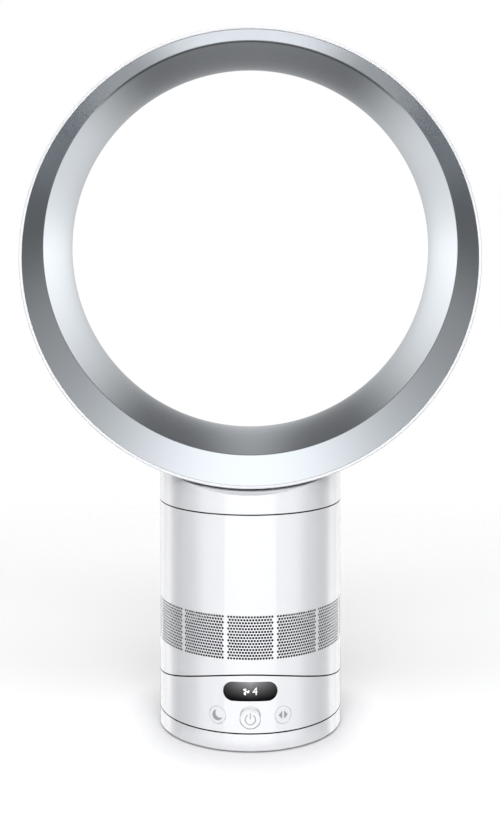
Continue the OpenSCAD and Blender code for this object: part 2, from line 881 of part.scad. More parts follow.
module motor_bucket_lower() {
  color(GREY) rotate_extrude() polygon([
    [shaft_r + over, bucket_z],
    [bucket_r, bucket_z],
    [bucket_r, bucket_z + bucket_split],
    [bucket_r - bucket_t, bucket_z + bucket_split],
    [bucket_r - bucket_t, bucket_z + bucket_t],
    [bearing_r + bearing_seat, bucket_z + bucket_t],
    [bearing_r + bearing_seat, bucket_z + bucket_t + bearing_t],
    [bearing_r, bucket_z + bucket_t + bearing_t],
    [bearing_r, bucket_z + bucket_t],
    [shaft_r + over, bucket_z + bucket_t]
  ]);
}

module motor_bucket_upper() {
  top = bucket_z + bucket_h;
  dome_r = bucket_r * dome_share;
  color(GREY) rotate_extrude() {
    polygon([
      [bucket_r - bucket_t, bucket_z + bucket_split],
      [bucket_r, bucket_z + bucket_split],
      [bucket_r, top - dome_h],
      [dome_r, top],
      [0, top],
      [0, top - bucket_t],
      [dome_r - bucket_t / 2, top - bucket_t],
      [bucket_r - bucket_t, top - dome_h - bucket_t / 2]
    ]);
    translate([bearing_r, upper_bearing_z]) square([bearing_seat, web_z - upper_bearing_z + bucket_t]);
    translate([shaft_r + over, web_z]) square([bucket_r - bucket_t / 2 - shaft_r - over, bucket_t]);
  }
}

module stator() {
  color(STEEL) {
    tube(bucket_r - bucket_t - shaft_gap, bucket_r - bucket_t - stator_yoke, magnet_z, magnet_z + magnet_h);
    difference() {
      for (i = [0 : poles - 1])
        rotate([0, 0, i * 360 / poles]) translate([0, -pole_w / 2, magnet_z])
          cube([bucket_r - bucket_t - stator_yoke / 2, pole_w, magnet_h]);
      disc(magnet_r + magnet_gap, magnet_z - over, magnet_z + magnet_h + over);
    }
  }
}

module stator_coils() {
  coil_in = magnet_r + magnet_gap + coil_over;
  coil_l = bucket_r - bucket_t - stator_yoke - coil_in - coil_over;
  color(COPPER)
    for (i = [0 : poles - 1])
      rotate([0, 0, i * 360 / poles]) translate([coil_in, 0, magnet_z + magnet_h / 2]) difference() {
        translate([0, -pole_w / 2 - coil_t, -magnet_h / 2 - coil_over])
          cube([coil_l, pole_w + 2 * coil_t, magnet_h + 2 * coil_over]);
        translate([-over, -pole_w / 2, -magnet_h / 2]) cube([coil_l + 2 * over, pole_w, magnet_h]);
      }
}

module motor_bearings() {
  color(STEEL)
    for (z = [bucket_z + bucket_t, upper_bearing_z])
      tube(bearing_r, shaft_r + shaft_gap, z, z + bearing_t);
}

module driver_board() {
  color(GREEN) disc(bucket_r - bucket_t - seat_gap, web_z + bucket_t, web_z + bucket_t + board_t);
}

module at_lugs() {
  for (i = [0 : lugs - 1])
    at_azimuth(i * 360 / lugs) children();
}

module bayonet_collar() {
  out_r = collar_in + collar_t;
  color(GREY) difference() {
    union() {
      tube(inner_r - seat_gap, collar_in, collar_flange_z, collar_flange_z + collar_flange_t);
      tube(out_r, collar_in, collar_flange_z, collar_top);
      at_lugs() front_arc(out_r + lug_reach, out_r - over, collar_top - lip_h, collar_top, lug_angle / 2);
      at_lugs() at_azimuth(-lug_angle / 2 - stop_angle)
        front_arc(out_r + lug_reach, out_r - over, lug_z, collar_top, stop_angle / 2);
    }
    for (i = [0 : lugs - 1])
      rotate([0, 0, 90 + i * 360 / lugs]) translate([screw_ring_r, 0, 0])
        disc(screw_r + seat_gap, collar_flange_z - over, collar_flange_z + collar_flange_t + over);
  }
}

module neck_seal() {
  color(RUBBER) tube(collar_in - shaft_gap, spigot_r + fit_gap, spigot_bottom + fit_gap,
    spigot_bottom + fit_gap + neck_seal_h);
}

module body_screws() {
  color(STEEL)
    for (i = [0 : lugs - 1])
      rotate([0, 0, 90 + i * 360 / lugs]) translate([screw_ring_r, 0, 0])
        screw_down(collar_flange_z + collar_flange_t);
}

// Rotor: spins in the body

// The blades' meridional outline, between the hub and the shroud
module blade_outline() {
  hub_top_r = bucket_r;
  sink = blade_t / 2;
  polygon([
    [hub_nose_r - sink, hub_z + sink],
    [shroud_inlet_r - tip_gap * 2, hub_z + sink],
    [shroud_in - tip_gap * 2, hub_z + cone_h],
    [shroud_in - tip_gap * 2, hub_z + impeller_h - sink],
    [hub_top_r - sink, hub_z + impeller_h - sink]
  ]);
}

module impeller() {
  color(BLACK) difference() {
    union() {
      rotate_extrude() polygon([
        [0, hub_z],
        [hub_nose_r, hub_z],
        [bucket_r, hub_z + impeller_h - blade_t],
        [bucket_r, hub_z + impeller_h],
        [0, hub_z + impeller_h]
      ]);
      for (i = [0 : blades - 1])
        rotate([0, 0, i * 360 / blades]) intersection() {
          rotate_extrude(angle = 90, start = -30) blade_outline();
          translate([0, blade_curve_r - blade_t, hub_z]) rotate([blade_lean_angle, 0, 0]) difference() {
            translate([0, 0, -body_r]) cylinder(r = blade_curve_r, h = 2 * body_r);
            translate([0, 0, -body_r - over])
              cylinder(r = blade_curve_r - blade_t, h = 2 * (body_r + over));
          }
        }
    }
    disc(shaft_r, hub_z - over, hub_z + impeller_h + over);
  }
}

module rotor_shaft() {
  color(STEEL) disc(shaft_r, hub_z, web_z + bucket_t / 2);
}

module rotor_magnet() {
  color(RUBBER) tube(magnet_r, shaft_r + shaft_gap, magnet_z, magnet_z + magnet_h);
}

// Nozzle: lifts off the body after a twist

module neck_collar() {
  color(WHITE) difference() {
    union() {
      difference() {
        disc(body_r, neck_bottom, ring_z - saddle_r / 2);
        difference() {
          disc(inner_r, neck_bottom - over, ring_z);
          ring_round(deck_r, -body_r - over, body_r + over);
        }
      }
      tube(inner_r + seat_gap, lug_ring_in, lug_z, lug_z + lug_h);
      at_lugs() front_arc(lug_ring_in + over, lug_ring_in - lug_reach + fit_gap, lug_z, lug_z + lug_h,
        lug_angle / 2);
    }
    ring_round(saddle_r, -body_r - over, body_r + over);
    disc(spigot_r - spigot_t, neck_bottom - over, ring_z);
    at_ring_screws() disc(screw_r + seat_gap, neck_bottom, ring_z);
  }
  color(WHITE) tube(spigot_r, spigot_r - spigot_t, spigot_bottom, spigot_top);
  color(WHITE) intersection() {
    at_ring_screws() tube(boss_r, screw_r + seat_gap, neck_z, ring_z - saddle_r / 2);
    difference() {
      ring_round(saddle_r + wall / 2, -body_r, body_r);
      ring_round(ring_r, -body_r - over, body_r + over);
    }
  }
}

module duct_seal() {
  color(RUBBER) intersection() {
    tube(spigot_r + seal_w, spigot_r + shaft_gap, neck_z, ring_z - saddle_r / 2);
    difference() {
      ring_round(saddle_r, -body_r, body_r);
      ring_round(ring_r, -body_r - over, body_r + over);
    }
  }
}

// The ring's outer form behind a height, inset by t
module ring_form(t, front) {
  fillet = back_fillet - t;
  r = ring_r - t;
  back = t - ring_back;
  about_axis(ring_z) rotate_extrude() intersection() {
    union() {
      translate([0, back]) square([r - fillet, front - back + over]);
      translate([0, back + fillet]) square([r, front - back - fillet + over]);
      translate([r - fillet, back + fillet]) circle(r = fillet);
    }
    translate([0, back]) square([r, front - back]);
  }
}

// The lip and the rounded mouth behind it
module mouth_form() {
  centre_r = lip_r + mouth_r;
  about_axis(bore_z) rotate_extrude() polygon([
    [lip_r, mouth_h],
    [lip_r, lip_h0],
    [lip_r + lip_t, lip_h0],
    [lip_r + ring_wall, mouth_h],
    [lip_r + ring_wall / 2, mouth_h - ring_wall / 2]
  ]);
  about_axis(bore_z) rotate_extrude() intersection() {
    difference() {
      translate([centre_r, mouth_h]) circle(r = mouth_r);
      translate([centre_r, mouth_h]) circle(r = mouth_r - ring_wall);
    }
    translate([lip_r - over, -ring_back]) square([mouth_r + over, mouth_depth]);
  }
}

// The hole in the ring's floor for the duct
module duct_hole() {
  disc(spigot_r + seat_gap, neck_z, ring_z - lip_r);
}

module ring_shell() {
  rib_h = ring_front - skirt_l - seal_t - rib_t;
  color(WHITE) difference() {
    union() {
      difference() {
        ring_round(ring_r, back_seam_h, ring_front);
        ring_round(rim_in, back_seam_h - over, ring_front + over);
      }
      difference() {
        ring_round(rim_in + seat_gap, rib_h, rib_h + rib_t);
        ring_round(rim_in - seal_d, rib_h - over, rib_h + rib_t + over);
      }
      intersection() {
        at_ring_screws() disc(boss_r, neck_z, ring_boss_top);
        ring_round(ring_r - ring_wall / 2, back_seam_h, ring_front);
      }
    }
    duct_hole();
    at_ring_screws() disc(screw_r, neck_z, ring_screw_z + ring_screw_l + seat_gap);
  }
}

// Closes the ring behind, and carries the lip of the slot
module ring_back() {
  register_r = rim_in - seat_gap;
  mouth_half = sqrt(mouth_r * mouth_r - mouth_depth * mouth_depth);
  hole_r = lip_r + mouth_r - mouth_half / 2;
  color(WHITE) difference() {
    union() {
      difference() {
        ring_form(0, back_seam_h);
        ring_form(ring_wall, back_seam_h + over);
        about_axis(bore_z) translate([0, 0, -ring_back - over])
          cylinder(r = hole_r, h = ring_wall + 2 * over);
      }
      mouth_form();
      difference() {
        ring_round(register_r, back_seam_h - ring_wall, back_seam_h + register_l);
        ring_round(register_r - ring_wall, back_seam_h - ring_wall - over, back_seam_h + register_l + over);
      }
    }
    duct_hole();
  }
}

// A point on the nose's section: its distance from the nose's centre, and its angle in front of the throat
function on_nose(r, a) = [nose_centre_r - r * cos(a), nose_h + r * sin(a)];

// The inner casing's side towards the duct, widened by t
module casing_form(t, back, front) {
  root = on_nose(nose_r - inner_wall, bore_angle);
  about_axis(bore_z) rotate_extrude() polygon([
    [0, back],
    [root[0] + t, back],
    [root[0] + t, root[1]],
    [crease_r + inner_wall + t, crease_h],
    [crease_r + inner_wall + t, front],
    [0, front]
  ]);
}

// Skins a closed loop of rings, each [radius, height towards the front, height of its axis]
module skin(rings) {
  last = len(rings);
  polyhedron(
    points = [for (ring = rings, i = [0 : skin_sides - 1])
      let (a = 360 * i / skin_sides)
      [ring[0] * cos(a), -ring[1], ring[2] + ring[0] * sin(a)]],
    faces = [for (k = [0 : last - 1], i = [0 : skin_sides - 1])
      let (
        next = (i + 1) % skin_sides,
        from = k * skin_sides,
        to = (k + 1) % last * skin_sides
      )
      each [[from + i, to + next, from + next], [from + i, to + i, to + next]]]);
}

// The bore's surface: a rounded nose behind the throat, then a slope out to the crease
module ring_inner_casing() {
  color(SILVER) about_axis(bore_z) rotate_extrude() polygon([
    on_nose(nose_r, bore_angle),
    [crease_r, crease_h],
    [crease_r + inner_wall, crease_h],
    on_nose(nose_r - inner_wall, bore_angle),
    [throat_r + inner_wall / 2, nose_h]
  ]);
  color(SILVER) about_axis(bore_z) rotate_extrude() intersection() {
    difference() {
      translate([nose_centre_r, nose_h]) circle(r = nose_r);
      translate([nose_centre_r, nose_h]) circle(r = nose_r - inner_wall);
    }
    polygon([
      [nose_centre_r, nose_h],
      on_nose(2 * nose_r, bore_angle),
      [nose_centre_r - 2 * nose_r, nose_h - 2 * nose_r],
      [nose_centre_r + nose_r, nose_h - 2 * nose_r]
    ]);
  }
  color(SILVER) about_axis(bore_z) translate([0, 0, crease_h - inner_wall]) difference() {
    cylinder(r = crease_r + casing_flange, h = inner_wall);
    translate([0, 0, -over]) cylinder(r = crease_r + inner_wall / 2, h = inner_wall + 2 * over);
  }
}

// The taper in front of the crease runs out to the rim, whose axis is lower
module ring_taper() {
  color(SILVER) skin([
    [crease_r, crease_h, bore_z],
    [taper_r, ring_front, ring_z],
    [taper_r, ring_front - skirt_l, ring_z],
    [taper_r - skirt_t, ring_front - skirt_l, ring_z],
    [taper_r - skirt_t, ring_front - rim_depth, ring_z],
    [crease_r + taper_foot, crease_h, bore_z]
  ]);
}

// Ribs that hold the slot open, between the lip and the nose
module slot_spacers() {
  back_r = lip_r + mouth_r - sqrt(pow(mouth_r - ring_wall, 2) - spacer_d * spacer_d);
  color(SILVER) about_axis(bore_z)
    for (i = [0 : spacers - 1])
      rotate_extrude(angle = spacer_angle, start = (i + 0.5) * 360 / spacers) difference() {
        polygon([
          [lip_r + lip_t, lip_h0],
          [lip_r + ring_wall, mouth_h],
          [back_r, mouth_h - spacer_d],
          [nose_centre_r, mouth_h - spacer_d],
          [nose_centre_r, nose_h]
        ]);
        translate([nose_centre_r, nose_h]) circle(r = nose_r + seat_gap);
      }
}

module rim_seal() {
  color(RUBBER) about_axis(ring_z) translate([0, 0, ring_front - skirt_l - seal_t]) difference() {
    cylinder(r = rim_in, h = seal_t);
    translate([0, 0, -over]) cylinder(r = rim_in - seal_d, h = seal_t + 2 * over);
  }
}

module flow_splitter() {
  color(GREY) difference() {
    translate([0, splitter_l / 2, 0]) rotate([90, 0, 0]) linear_extrude(splitter_l) polygon([
      [0, spigot_top + over],
      [splitter_w / 2, bore_z - throat_r],
      [-splitter_w / 2, bore_z - throat_r]
    ]);
    casing_form(seat_gap, -ring_back, crease_h + over);
  }
}

module ring_screws() {
  color(STEEL) at_ring_screws() screw_up(ring_screw_z, ring_screw_l);
}

foot_shell();
foot_plate();
foot_pad();
weight_plate();
swivel_spindle();
swivel_washer();
sun_gear();
spindle_clip();
cord_gland();
foot_screws();
base_shell();
turntable();
tilt_cradle();
display_window();
display_module();
display_board();
ir_receiver();
control_board();
tact_switches();
power_board();
swing_motor();
motor_bracket();
base_screws();
swing_pinion();
power_button();
sleep_button();
swing_button();
body_casing();
inlet_grille();
tilt_shoe();
tilt_keepers();
silencer_foam();
shroud_mounts();
impeller_shroud();
diffuser();
motor_bucket_lower();
motor_bucket_upper();
stator();
stator_coils();
motor_bearings();
driver_board();
bayonet_collar();
neck_seal();
body_screws();
impeller();
rotor_shaft();
rotor_magnet();
neck_collar();
duct_seal();
ring_shell();
ring_back();
ring_inner_casing();
ring_taper();
slot_spacers();
rim_seal();
flow_splitter();
ring_screws();
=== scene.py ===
"""Looks of the bladeless desk fan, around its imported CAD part.

The carried-over solids get their materials. The ring's casings, the perforated inlet and the signs on
the display and the buttons are modelled here. Metres, +Z up, the front towards -Y.
"""

from __future__ import annotations

import json
import logging
import math
from dataclasses import dataclass, field
from enum import Enum
from typing import Any, Iterable, Sequence, Union

import bmesh
import bpy
from mathutils import Matrix, Vector

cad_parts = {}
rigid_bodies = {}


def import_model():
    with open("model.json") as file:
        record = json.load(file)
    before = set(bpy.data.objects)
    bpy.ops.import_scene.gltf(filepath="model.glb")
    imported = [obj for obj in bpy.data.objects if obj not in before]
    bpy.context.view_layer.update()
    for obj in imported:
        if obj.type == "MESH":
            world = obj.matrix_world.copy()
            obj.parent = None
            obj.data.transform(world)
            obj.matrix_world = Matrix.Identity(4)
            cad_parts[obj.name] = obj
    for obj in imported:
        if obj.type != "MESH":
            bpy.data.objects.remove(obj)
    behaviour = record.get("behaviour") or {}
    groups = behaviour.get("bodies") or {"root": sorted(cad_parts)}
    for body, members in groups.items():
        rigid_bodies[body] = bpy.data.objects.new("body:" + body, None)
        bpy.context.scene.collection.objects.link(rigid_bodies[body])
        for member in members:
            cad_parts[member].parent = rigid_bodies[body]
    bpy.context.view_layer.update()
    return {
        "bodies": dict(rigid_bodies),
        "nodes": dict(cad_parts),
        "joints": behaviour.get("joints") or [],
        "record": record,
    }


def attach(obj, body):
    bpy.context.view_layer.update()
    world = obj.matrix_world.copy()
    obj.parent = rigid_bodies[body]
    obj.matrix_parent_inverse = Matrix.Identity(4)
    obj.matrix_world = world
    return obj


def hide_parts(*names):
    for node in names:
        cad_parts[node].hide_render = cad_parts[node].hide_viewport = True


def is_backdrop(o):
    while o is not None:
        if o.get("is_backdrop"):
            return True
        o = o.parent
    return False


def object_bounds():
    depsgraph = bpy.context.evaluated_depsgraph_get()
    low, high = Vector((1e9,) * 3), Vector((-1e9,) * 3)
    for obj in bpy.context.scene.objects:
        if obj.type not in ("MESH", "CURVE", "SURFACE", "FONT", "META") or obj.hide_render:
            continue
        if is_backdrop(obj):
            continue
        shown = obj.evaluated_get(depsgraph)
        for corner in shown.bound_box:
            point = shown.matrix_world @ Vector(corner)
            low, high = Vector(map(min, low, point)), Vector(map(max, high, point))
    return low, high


LOG = logging.getLogger("fan")
MM = 0.001
Pair = tuple[float, float]
Point = tuple[float, float, float]
Colour = tuple[float, float, float]
Number = Union[float, "Value"]

FOOT_HEIGHT = 14.5 * MM
TILT_LOW = FOOT_HEIGHT + 29.2 * MM
TILT_RADIUS = 181.5 * MM
NECK_Z = TILT_LOW + 136.3 * MM
COLUMN_RADIUS = 73.0 * MM
POWER_Z = 25.7 * MM
INLET_LOW = 69.5 * MM
INLET_HEIGHT = 35.0 * MM
RING_AXIS_Z = 375.1 * MM
BORE_RISE = 7.4 * MM
THROAT_RADIUS = 149.0 * MM
FLARE = 12.2 * MM
MERGE = 0.001 * MM
WHITE_LIGHT = (1.0, 1.0, 1.0)


class Value:
    """A socket in a node tree. Python operators on it add the Math nodes that they stand for."""

    def __init__(self, tree: bpy.types.NodeTree, socket: bpy.types.NodeSocket) -> None:
        """Keeps the tree and the socket."""
        self.tree = tree
        self.socket = socket

    def math(self, operation: str, *inputs: Number) -> "Value":
        """Adds one Math node.

        Args:
            operation: The node's operation.
            inputs: Its inputs in order, numbers or values.

        Returns:
            The node's result.
        """
        node = self.tree.nodes.new("ShaderNodeMath")
        node.operation = operation
        for index, given in enumerate(inputs):
            if isinstance(given, Value):
                self.tree.links.new(given.socket, node.inputs[index])
            else:
                node.inputs[index].default_value = given
        return Value(self.tree, node.outputs[0])

    def __add__(self, other: Number) -> "Value":
        """Sum."""
        return self.math("ADD", self, other)

    def __sub__(self, other: Number) -> "Value":
        """Difference."""
        return self.math("SUBTRACT", self, other)

    def __mul__(self, other: Number) -> "Value":
        """Product."""
        return self.math("MULTIPLY", self, other)

    def __truediv__(self, other: Number) -> "Value":
        """Quotient."""
        return self.math("DIVIDE", self, other)

    def __rsub__(self, other: float) -> "Value":
        """Difference from a number."""
        return self.math("SUBTRACT", other, self)

    def __pow__(self, other: float) -> "Value":
        """Power."""
        return self.math("POWER", self, other)

    __radd__ = __add__
    __rmul__ = __mul__

    def __abs__(self) -> "Value":
        """Size without sign."""
        return self.math("ABSOLUTE", self)

    def reach(self, other: "Value") -> "Value":
        """Length of the flat vector whose parts are this value and the other."""
        return self.math("SQRT", self * self + other * other)

    def lesser(self, other: Number) -> "Value":
        """The smaller of two."""
        return self.math("MINIMUM", self, other)

    def turn(self, other: "Value") -> "Value":
        """Angle in radians whose tangent is this value over the other."""
        return self.math("ARCTAN2", self, other)

    def rising(self, low: float, high: float) -> "Value":
        """Goes smoothly from 0 to 1 as the value goes from low to high.

        Args:
            low: Where it leaves 0.
            high: Where it reaches 1.

        Returns:
            The eased share.
        """
        share = self.math("MINIMUM", (self - low) / (high - low), 1.0)
        share = self.math("MAXIMUM", share, 0.0)
        return share * share * (3.0 - 2.0 * share)

    def falling(self, low: float, high: float) -> "Value":
        """Goes smoothly from 1 to 0 as the value goes from low to high."""
        return 1.0 - self.rising(low, high)


class Graph:
    """A node tree that nodes are added to."""

    def __init__(self, tree: bpy.types.NodeTree) -> None:
        """Starts the tree empty."""
        self.tree = tree
        self.tree.nodes.clear()

    def node(self, kind: str, settings: dict[str, Any] | None = None, **sockets: Any) -> bpy.types.Node:
        """Adds any node.

        Args:
            kind: The node's type.
            settings: Its settings, which are set first.
            sockets: Its sockets by name, underscores for spaces, as numbers, colours, values or sockets.

        Returns:
            The node.
        """
        node = self.tree.nodes.new(kind)
        for key, setting in (settings or {}).items():
            setattr(node, key, setting)
        for key, given in sockets.items():
            self.put(node.inputs[key.replace("_", " ")], given)
        return node

    def put(self, target: bpy.types.NodeSocket, given: Any) -> None:
        """Sets or links one socket.

        Args:
            target: The socket.
            given: A number, colour, value or other socket.
        """
        if isinstance(given, Value):
            self.tree.links.new(given.socket, target)
        elif isinstance(given, bpy.types.NodeSocket):
            self.tree.links.new(given, target)
        elif target.type == "RGBA" and len(given) == 3:
            target.default_value = (*given, 1.0)
        else:
            target.default_value = given

    def value(self, socket: bpy.types.NodeSocket) -> Value:
        """Wraps a socket for Python maths."""
        return Value(self.tree, socket)

    def parts(self, kind: str) -> tuple[Value, Value, Value]:
        """Splits a texture coordinate.

        Args:
            kind: Object for the point on a piece, in metres, or Generated for a way in the world.

        Returns:
            Its X, Y and Z.
        """
        place = self.node("ShaderNodeTexCoord").outputs[kind]
        split = self.node("ShaderNodeSeparateXYZ", Vector=place)
        return self.value(split.outputs[0]), self.value(split.outputs[1]), self.value(split.outputs[2])

    def ray(self, kind: str) -> Value:
        """One output of the light path, such as Is Camera Ray."""
        return self.value(self.node("ShaderNodeLightPath").outputs[kind])


class Surface(Graph):
    """A material that is being made around one Principled shader."""

    def __init__(self, name: str) -> None:
        """Starts the material with its shader and output."""
        self.material = bpy.data.materials.new(name)
        self.material.use_nodes = True
        super().__init__(self.material.node_tree)
        self.shader = self.node("ShaderNodeBsdfPrincipled")
        self.output = self.node("ShaderNodeOutputMaterial", Surface=self.shader.outputs[0])

    def coat(self, **sockets: Any) -> None:
        """Sets or links sockets of the shader, underscores for spaces."""
        for key, given in sockets.items():
            self.put(self.shader.inputs[key.replace("_", " ")], given)

    def place(self) -> bpy.types.NodeSocket:
        """The point on the object, in metres."""
        return self.node("ShaderNodeTexCoord").outputs["Object"]

    def show(self, shader: bpy.types.NodeSocket) -> None:
        """Gives the output another shader than the Principled one."""
        self.put(self.output.inputs["Surface"], shader)

    def noise(self, size: float, detail: float = 2.0) -> Value:
        """Soft noise.

        Args:
            size: Size of its lumps, in metres.
            detail: Its octaves.

        Returns:
            A value about 0.5.
        """
        made = self.node("ShaderNodeTexNoise", Vector=self.place(), Scale=1.0 / size, Detail=detail)
        return self.value(made.outputs[0])

    def cells(self, size: float) -> Value:
        """The distance from the middles of cells of a size in metres, in shares of it."""
        made = self.node("ShaderNodeTexVoronoi", Vector=self.place(), Scale=1.0 / size)
        return self.value(made.outputs["Distance"])

    def tint(self, low: Colour, high: Colour, share: Value) -> bpy.types.NodeSocket:
        """Mixes two colours.

        Args:
            low: Colour where the share is 0.
            high: Colour where it is 1.
            share: The share.

        Returns:
            The mixed colour.
        """
        mix = self.node("ShaderNodeMix", {"data_type": "RGBA"})
        self.put(mix.inputs[0], share)
        self.put(mix.inputs[6], low)
        self.put(mix.inputs[7], high)
        return mix.outputs[2]

    def relief(self, height: Value, depth: float) -> None:
        """Feeds a bump into the shader's normal.

        Args:
            height: The relief, from 0 to 1.
            depth: Its depth in metres.
        """
        bump = self.node("ShaderNodeBump", Strength=1.0, Distance=depth, Height=height)
        self.coat(Normal=bump.outputs[0])


def scaled(colour: Colour, factor: float) -> Colour:
    """A colour made darker or lighter."""
    return tuple(factor * channel for channel in colour)


@dataclass(frozen=True)
class Coating:
    """What all finishes have: a name, a main colour, and a way to dress a surface.

    Sizes of clouds, waves, grain and smears are those of the noise that makes them.
    """

    name: str
    colour: Colour

    def dress(self, surface: Surface) -> None:
        """Sets the surface's shader, as each finish does in its own way."""
        raise NotImplementedError

    def material(self) -> bpy.types.Material:
        """Makes the finish's material.

        Returns:
            The material.
        """
        surface = Surface(self.name)
        self.dress(surface)
        return surface.material


@dataclass(frozen=True)
class Moulding(Coating):
    """Moulded plastic or rubber, from a mirror gloss to a matt grain."""

    roughness: float
    gloss: float = 0.0
    grain: float = 0.6 * MM
    depth: float = 0.002 * MM
    cloud: float = 30.0 * MM
    clouded: float = 0.965
    spread: float = 0.06
    coat_roughness: float = 0.03

    def dress(self, surface: Surface) -> None:
        """A faint cloudiness in the colour, and the mould's grain.

        Args:
            surface: The material in the making.
        """
        clouds = surface.noise(self.cloud, detail=3.0)
        surface.coat(Base_Color=surface.tint(self.colour, scaled(self.colour, self.clouded), clouds))
        fine = surface.noise(self.grain, detail=3.0)
        surface.coat(Roughness=fine * self.spread + (self.roughness - self.spread / 2))
        surface.coat(Coat_Weight=self.gloss, Coat_Roughness=self.coat_roughness)
        surface.relief(fine, self.depth)


@dataclass(frozen=True)
class PaintedDishShade:
    """Painted shade over the power button: a shaded crescent that stands in for the shade under the upper
    wall of a finger dish.

    The crescent lies outside the button's edge and inside a circle of the same radius set higher.
    """

    middle_z: float = POWER_Z
    radius: float = 8.0 * MM
    rise: float = 2.3 * MM
    face: float = 66.0 * MM
    face_edge: float = 1.0 * MM
    button_edge: float = 0.1 * MM
    inner_blur: float = 0.4 * MM
    outer_blur: float = 0.3 * MM
    core: float = 0.1 * MM
    top_lean: Pair = (0.45, 0.95)
    top_fade: float = 0.7

    def crescent(self, x: Value, y: Value, z: Value) -> Value:
        """The painted shaded crescent.

        Args:
            x: The point's X.
            y: Its Y.
            z: Its height.

        Returns:
            1 at the crescent's sides, less at its top, 0 elsewhere.
        """
        outside = x.reach(z - self.middle_z).rising(
            self.radius - self.button_edge, self.radius + self.button_edge
        )
        higher = z - self.middle_z - self.rise
        reach = x.reach(higher)
        inside = reach.falling(self.radius - self.inner_blur, self.radius + self.outer_blur)
        lean = higher / (reach + self.core)
        front = y.falling(-self.face, self.face_edge - self.face)
        return outside * inside * (1.0 - self.top_fade * lean.rising(*self.top_lean)) * front


@dataclass(frozen=True)
class Casing(Coating):
    """The white casings: glossy, with painted shade in the seams, in the inlet's holes and in a crescent
    over the power button, and a matt ledge on the neck.
    """

    # Near-black colour of the painted shade in the seams, the inlet's holes and the crescent over the
    # power button.
    shade: Colour
    roughness: float
    flat_seams: Pair = (FOOT_HEIGHT, NECK_Z)
    tilt_axis: float = TILT_LOW + TILT_RADIUS
    tilt_seam: float = TILT_RADIUS
    tilt_top: Pair = (125.0 * MM, 185.0 * MM)
    half_gap: float = 0.5 * MM
    gap_edge: float = 0.05 * MM
    inlet_middle: float = INLET_LOW + INLET_HEIGHT / 2
    inlet_half: float = INLET_HEIGHT / 2 + 0.4 * MM
    inlet_face: float = COLUMN_RADIUS - 0.15 * MM
    inlet_edge: float = 0.1 * MM
    ring_axis: float = RING_AXIS_Z
    ledge_radius: float = 180.2 * MM
    ledge_edge: Pair = (0.3 * MM, 0.5 * MM)
    ledge_roughness: float = 0.5
    cloud: float = 40.0 * MM
    clouded: float = 0.02
    grain: float = 0.8 * MM
    spread: float = 0.05
    wave: float = 14.0 * MM
    wave_depth: float = 0.004 * MM
    dish: PaintedDishShade = PaintedDishShade()
    crescent_painted_shade: float = 0.6

    def seams(self, y: Value, z: Value) -> Value:
        """The seams between the casings, whose walls take painted shade.

        Args:
            y: The point's Y.
            z: Its height.

        Returns:
            0 in a seam, 1 beside it.
        """
        nearest = abs(y.reach(z - self.tilt_axis) - self.tilt_seam) + z.rising(*self.tilt_top)
        for height in self.flat_seams:
            nearest = nearest.lesser(abs(z - height))
        return nearest.rising(self.half_gap, self.half_gap + self.gap_edge)

    def dress(self, surface: Surface) -> None:
        """Gloss, with masks worked out from the point on the casing.

        Args:
            surface: The material in the making.
        """
        x, y, z = surface.parts("Object")
        # Painted shade: the walls of the seams and of the inlet's holes, below the panels' face, take the
        # near-black shade colour.
        beside = abs(z - self.inlet_middle).falling(self.inlet_half, self.inlet_half + self.inlet_edge)
        behind = x.reach(y).falling(self.inlet_face - self.inlet_edge, self.inlet_face)
        clear = self.seams(y, z) * (1.0 - beside * behind)
        clouds = 1.0 - self.clouded * surface.noise(self.cloud, detail=3.0)
        # Painted shade: the crescent over the power button darkens the casing towards the shade colour.
        shown = clear * clouds * (1.0 - self.crescent_painted_shade * self.dish.crescent(x, y, z))
        surface.coat(Base_Color=surface.tint(self.shade, self.colour, shown))
        ledge = abs(x.reach(z - self.ring_axis) - self.ledge_radius).rising(*self.ledge_edge)
        fine = surface.noise(self.grain, detail=3.0)
        surface.coat(Roughness=fine * self.spread + self.roughness + (1.0 - ledge) * self.ledge_roughness)
        surface.coat(Coat_Weight=ledge * clear, Coat_Roughness=0.0)
        surface.relief(surface.noise(self.wave, detail=1.0), self.wave_depth)


@dataclass(frozen=True)
class SmokedWindow(Coating):
    """The display's smoked window, with a painted reflection that lightens it towards its upper edge and
    its middle.
    """

    # Colour of the painted reflection at the window's upper middle.
    light: Colour
    low: float = 38.9 * MM
    high: float = 54.0 * MM
    half_width: float = 21.0 * MM
    upward: float = 1.6
    outward: float = 0.8
    end_shade: float = 0.85
    roughness: float = 0.08
    specular: float = 0.05
    smear: float = 3.0 * MM
    spread: float = 0.03

    def dress(self, surface: Surface) -> None:
        """A dark smoked tint under a painted reflection that grows lighter upwards and towards the middle.

        Args:
            surface: The material in the making.
        """
        x, _, z = surface.parts("Object")
        # Painted reflection: the colour goes from the dark tint to the light one upwards and towards the
        # middle.
        ends = 1.0 - (abs(x) / self.half_width) ** self.outward * self.end_shade
        thin = ((z - self.low) / (self.high - self.low)) ** self.upward * ends
        surface.coat(Base_Color=surface.tint(self.colour, self.light, thin))
        smears = surface.noise(self.smear) * self.spread
        surface.coat(Roughness=smears + self.roughness, Specular_IOR_Level=self.specular)


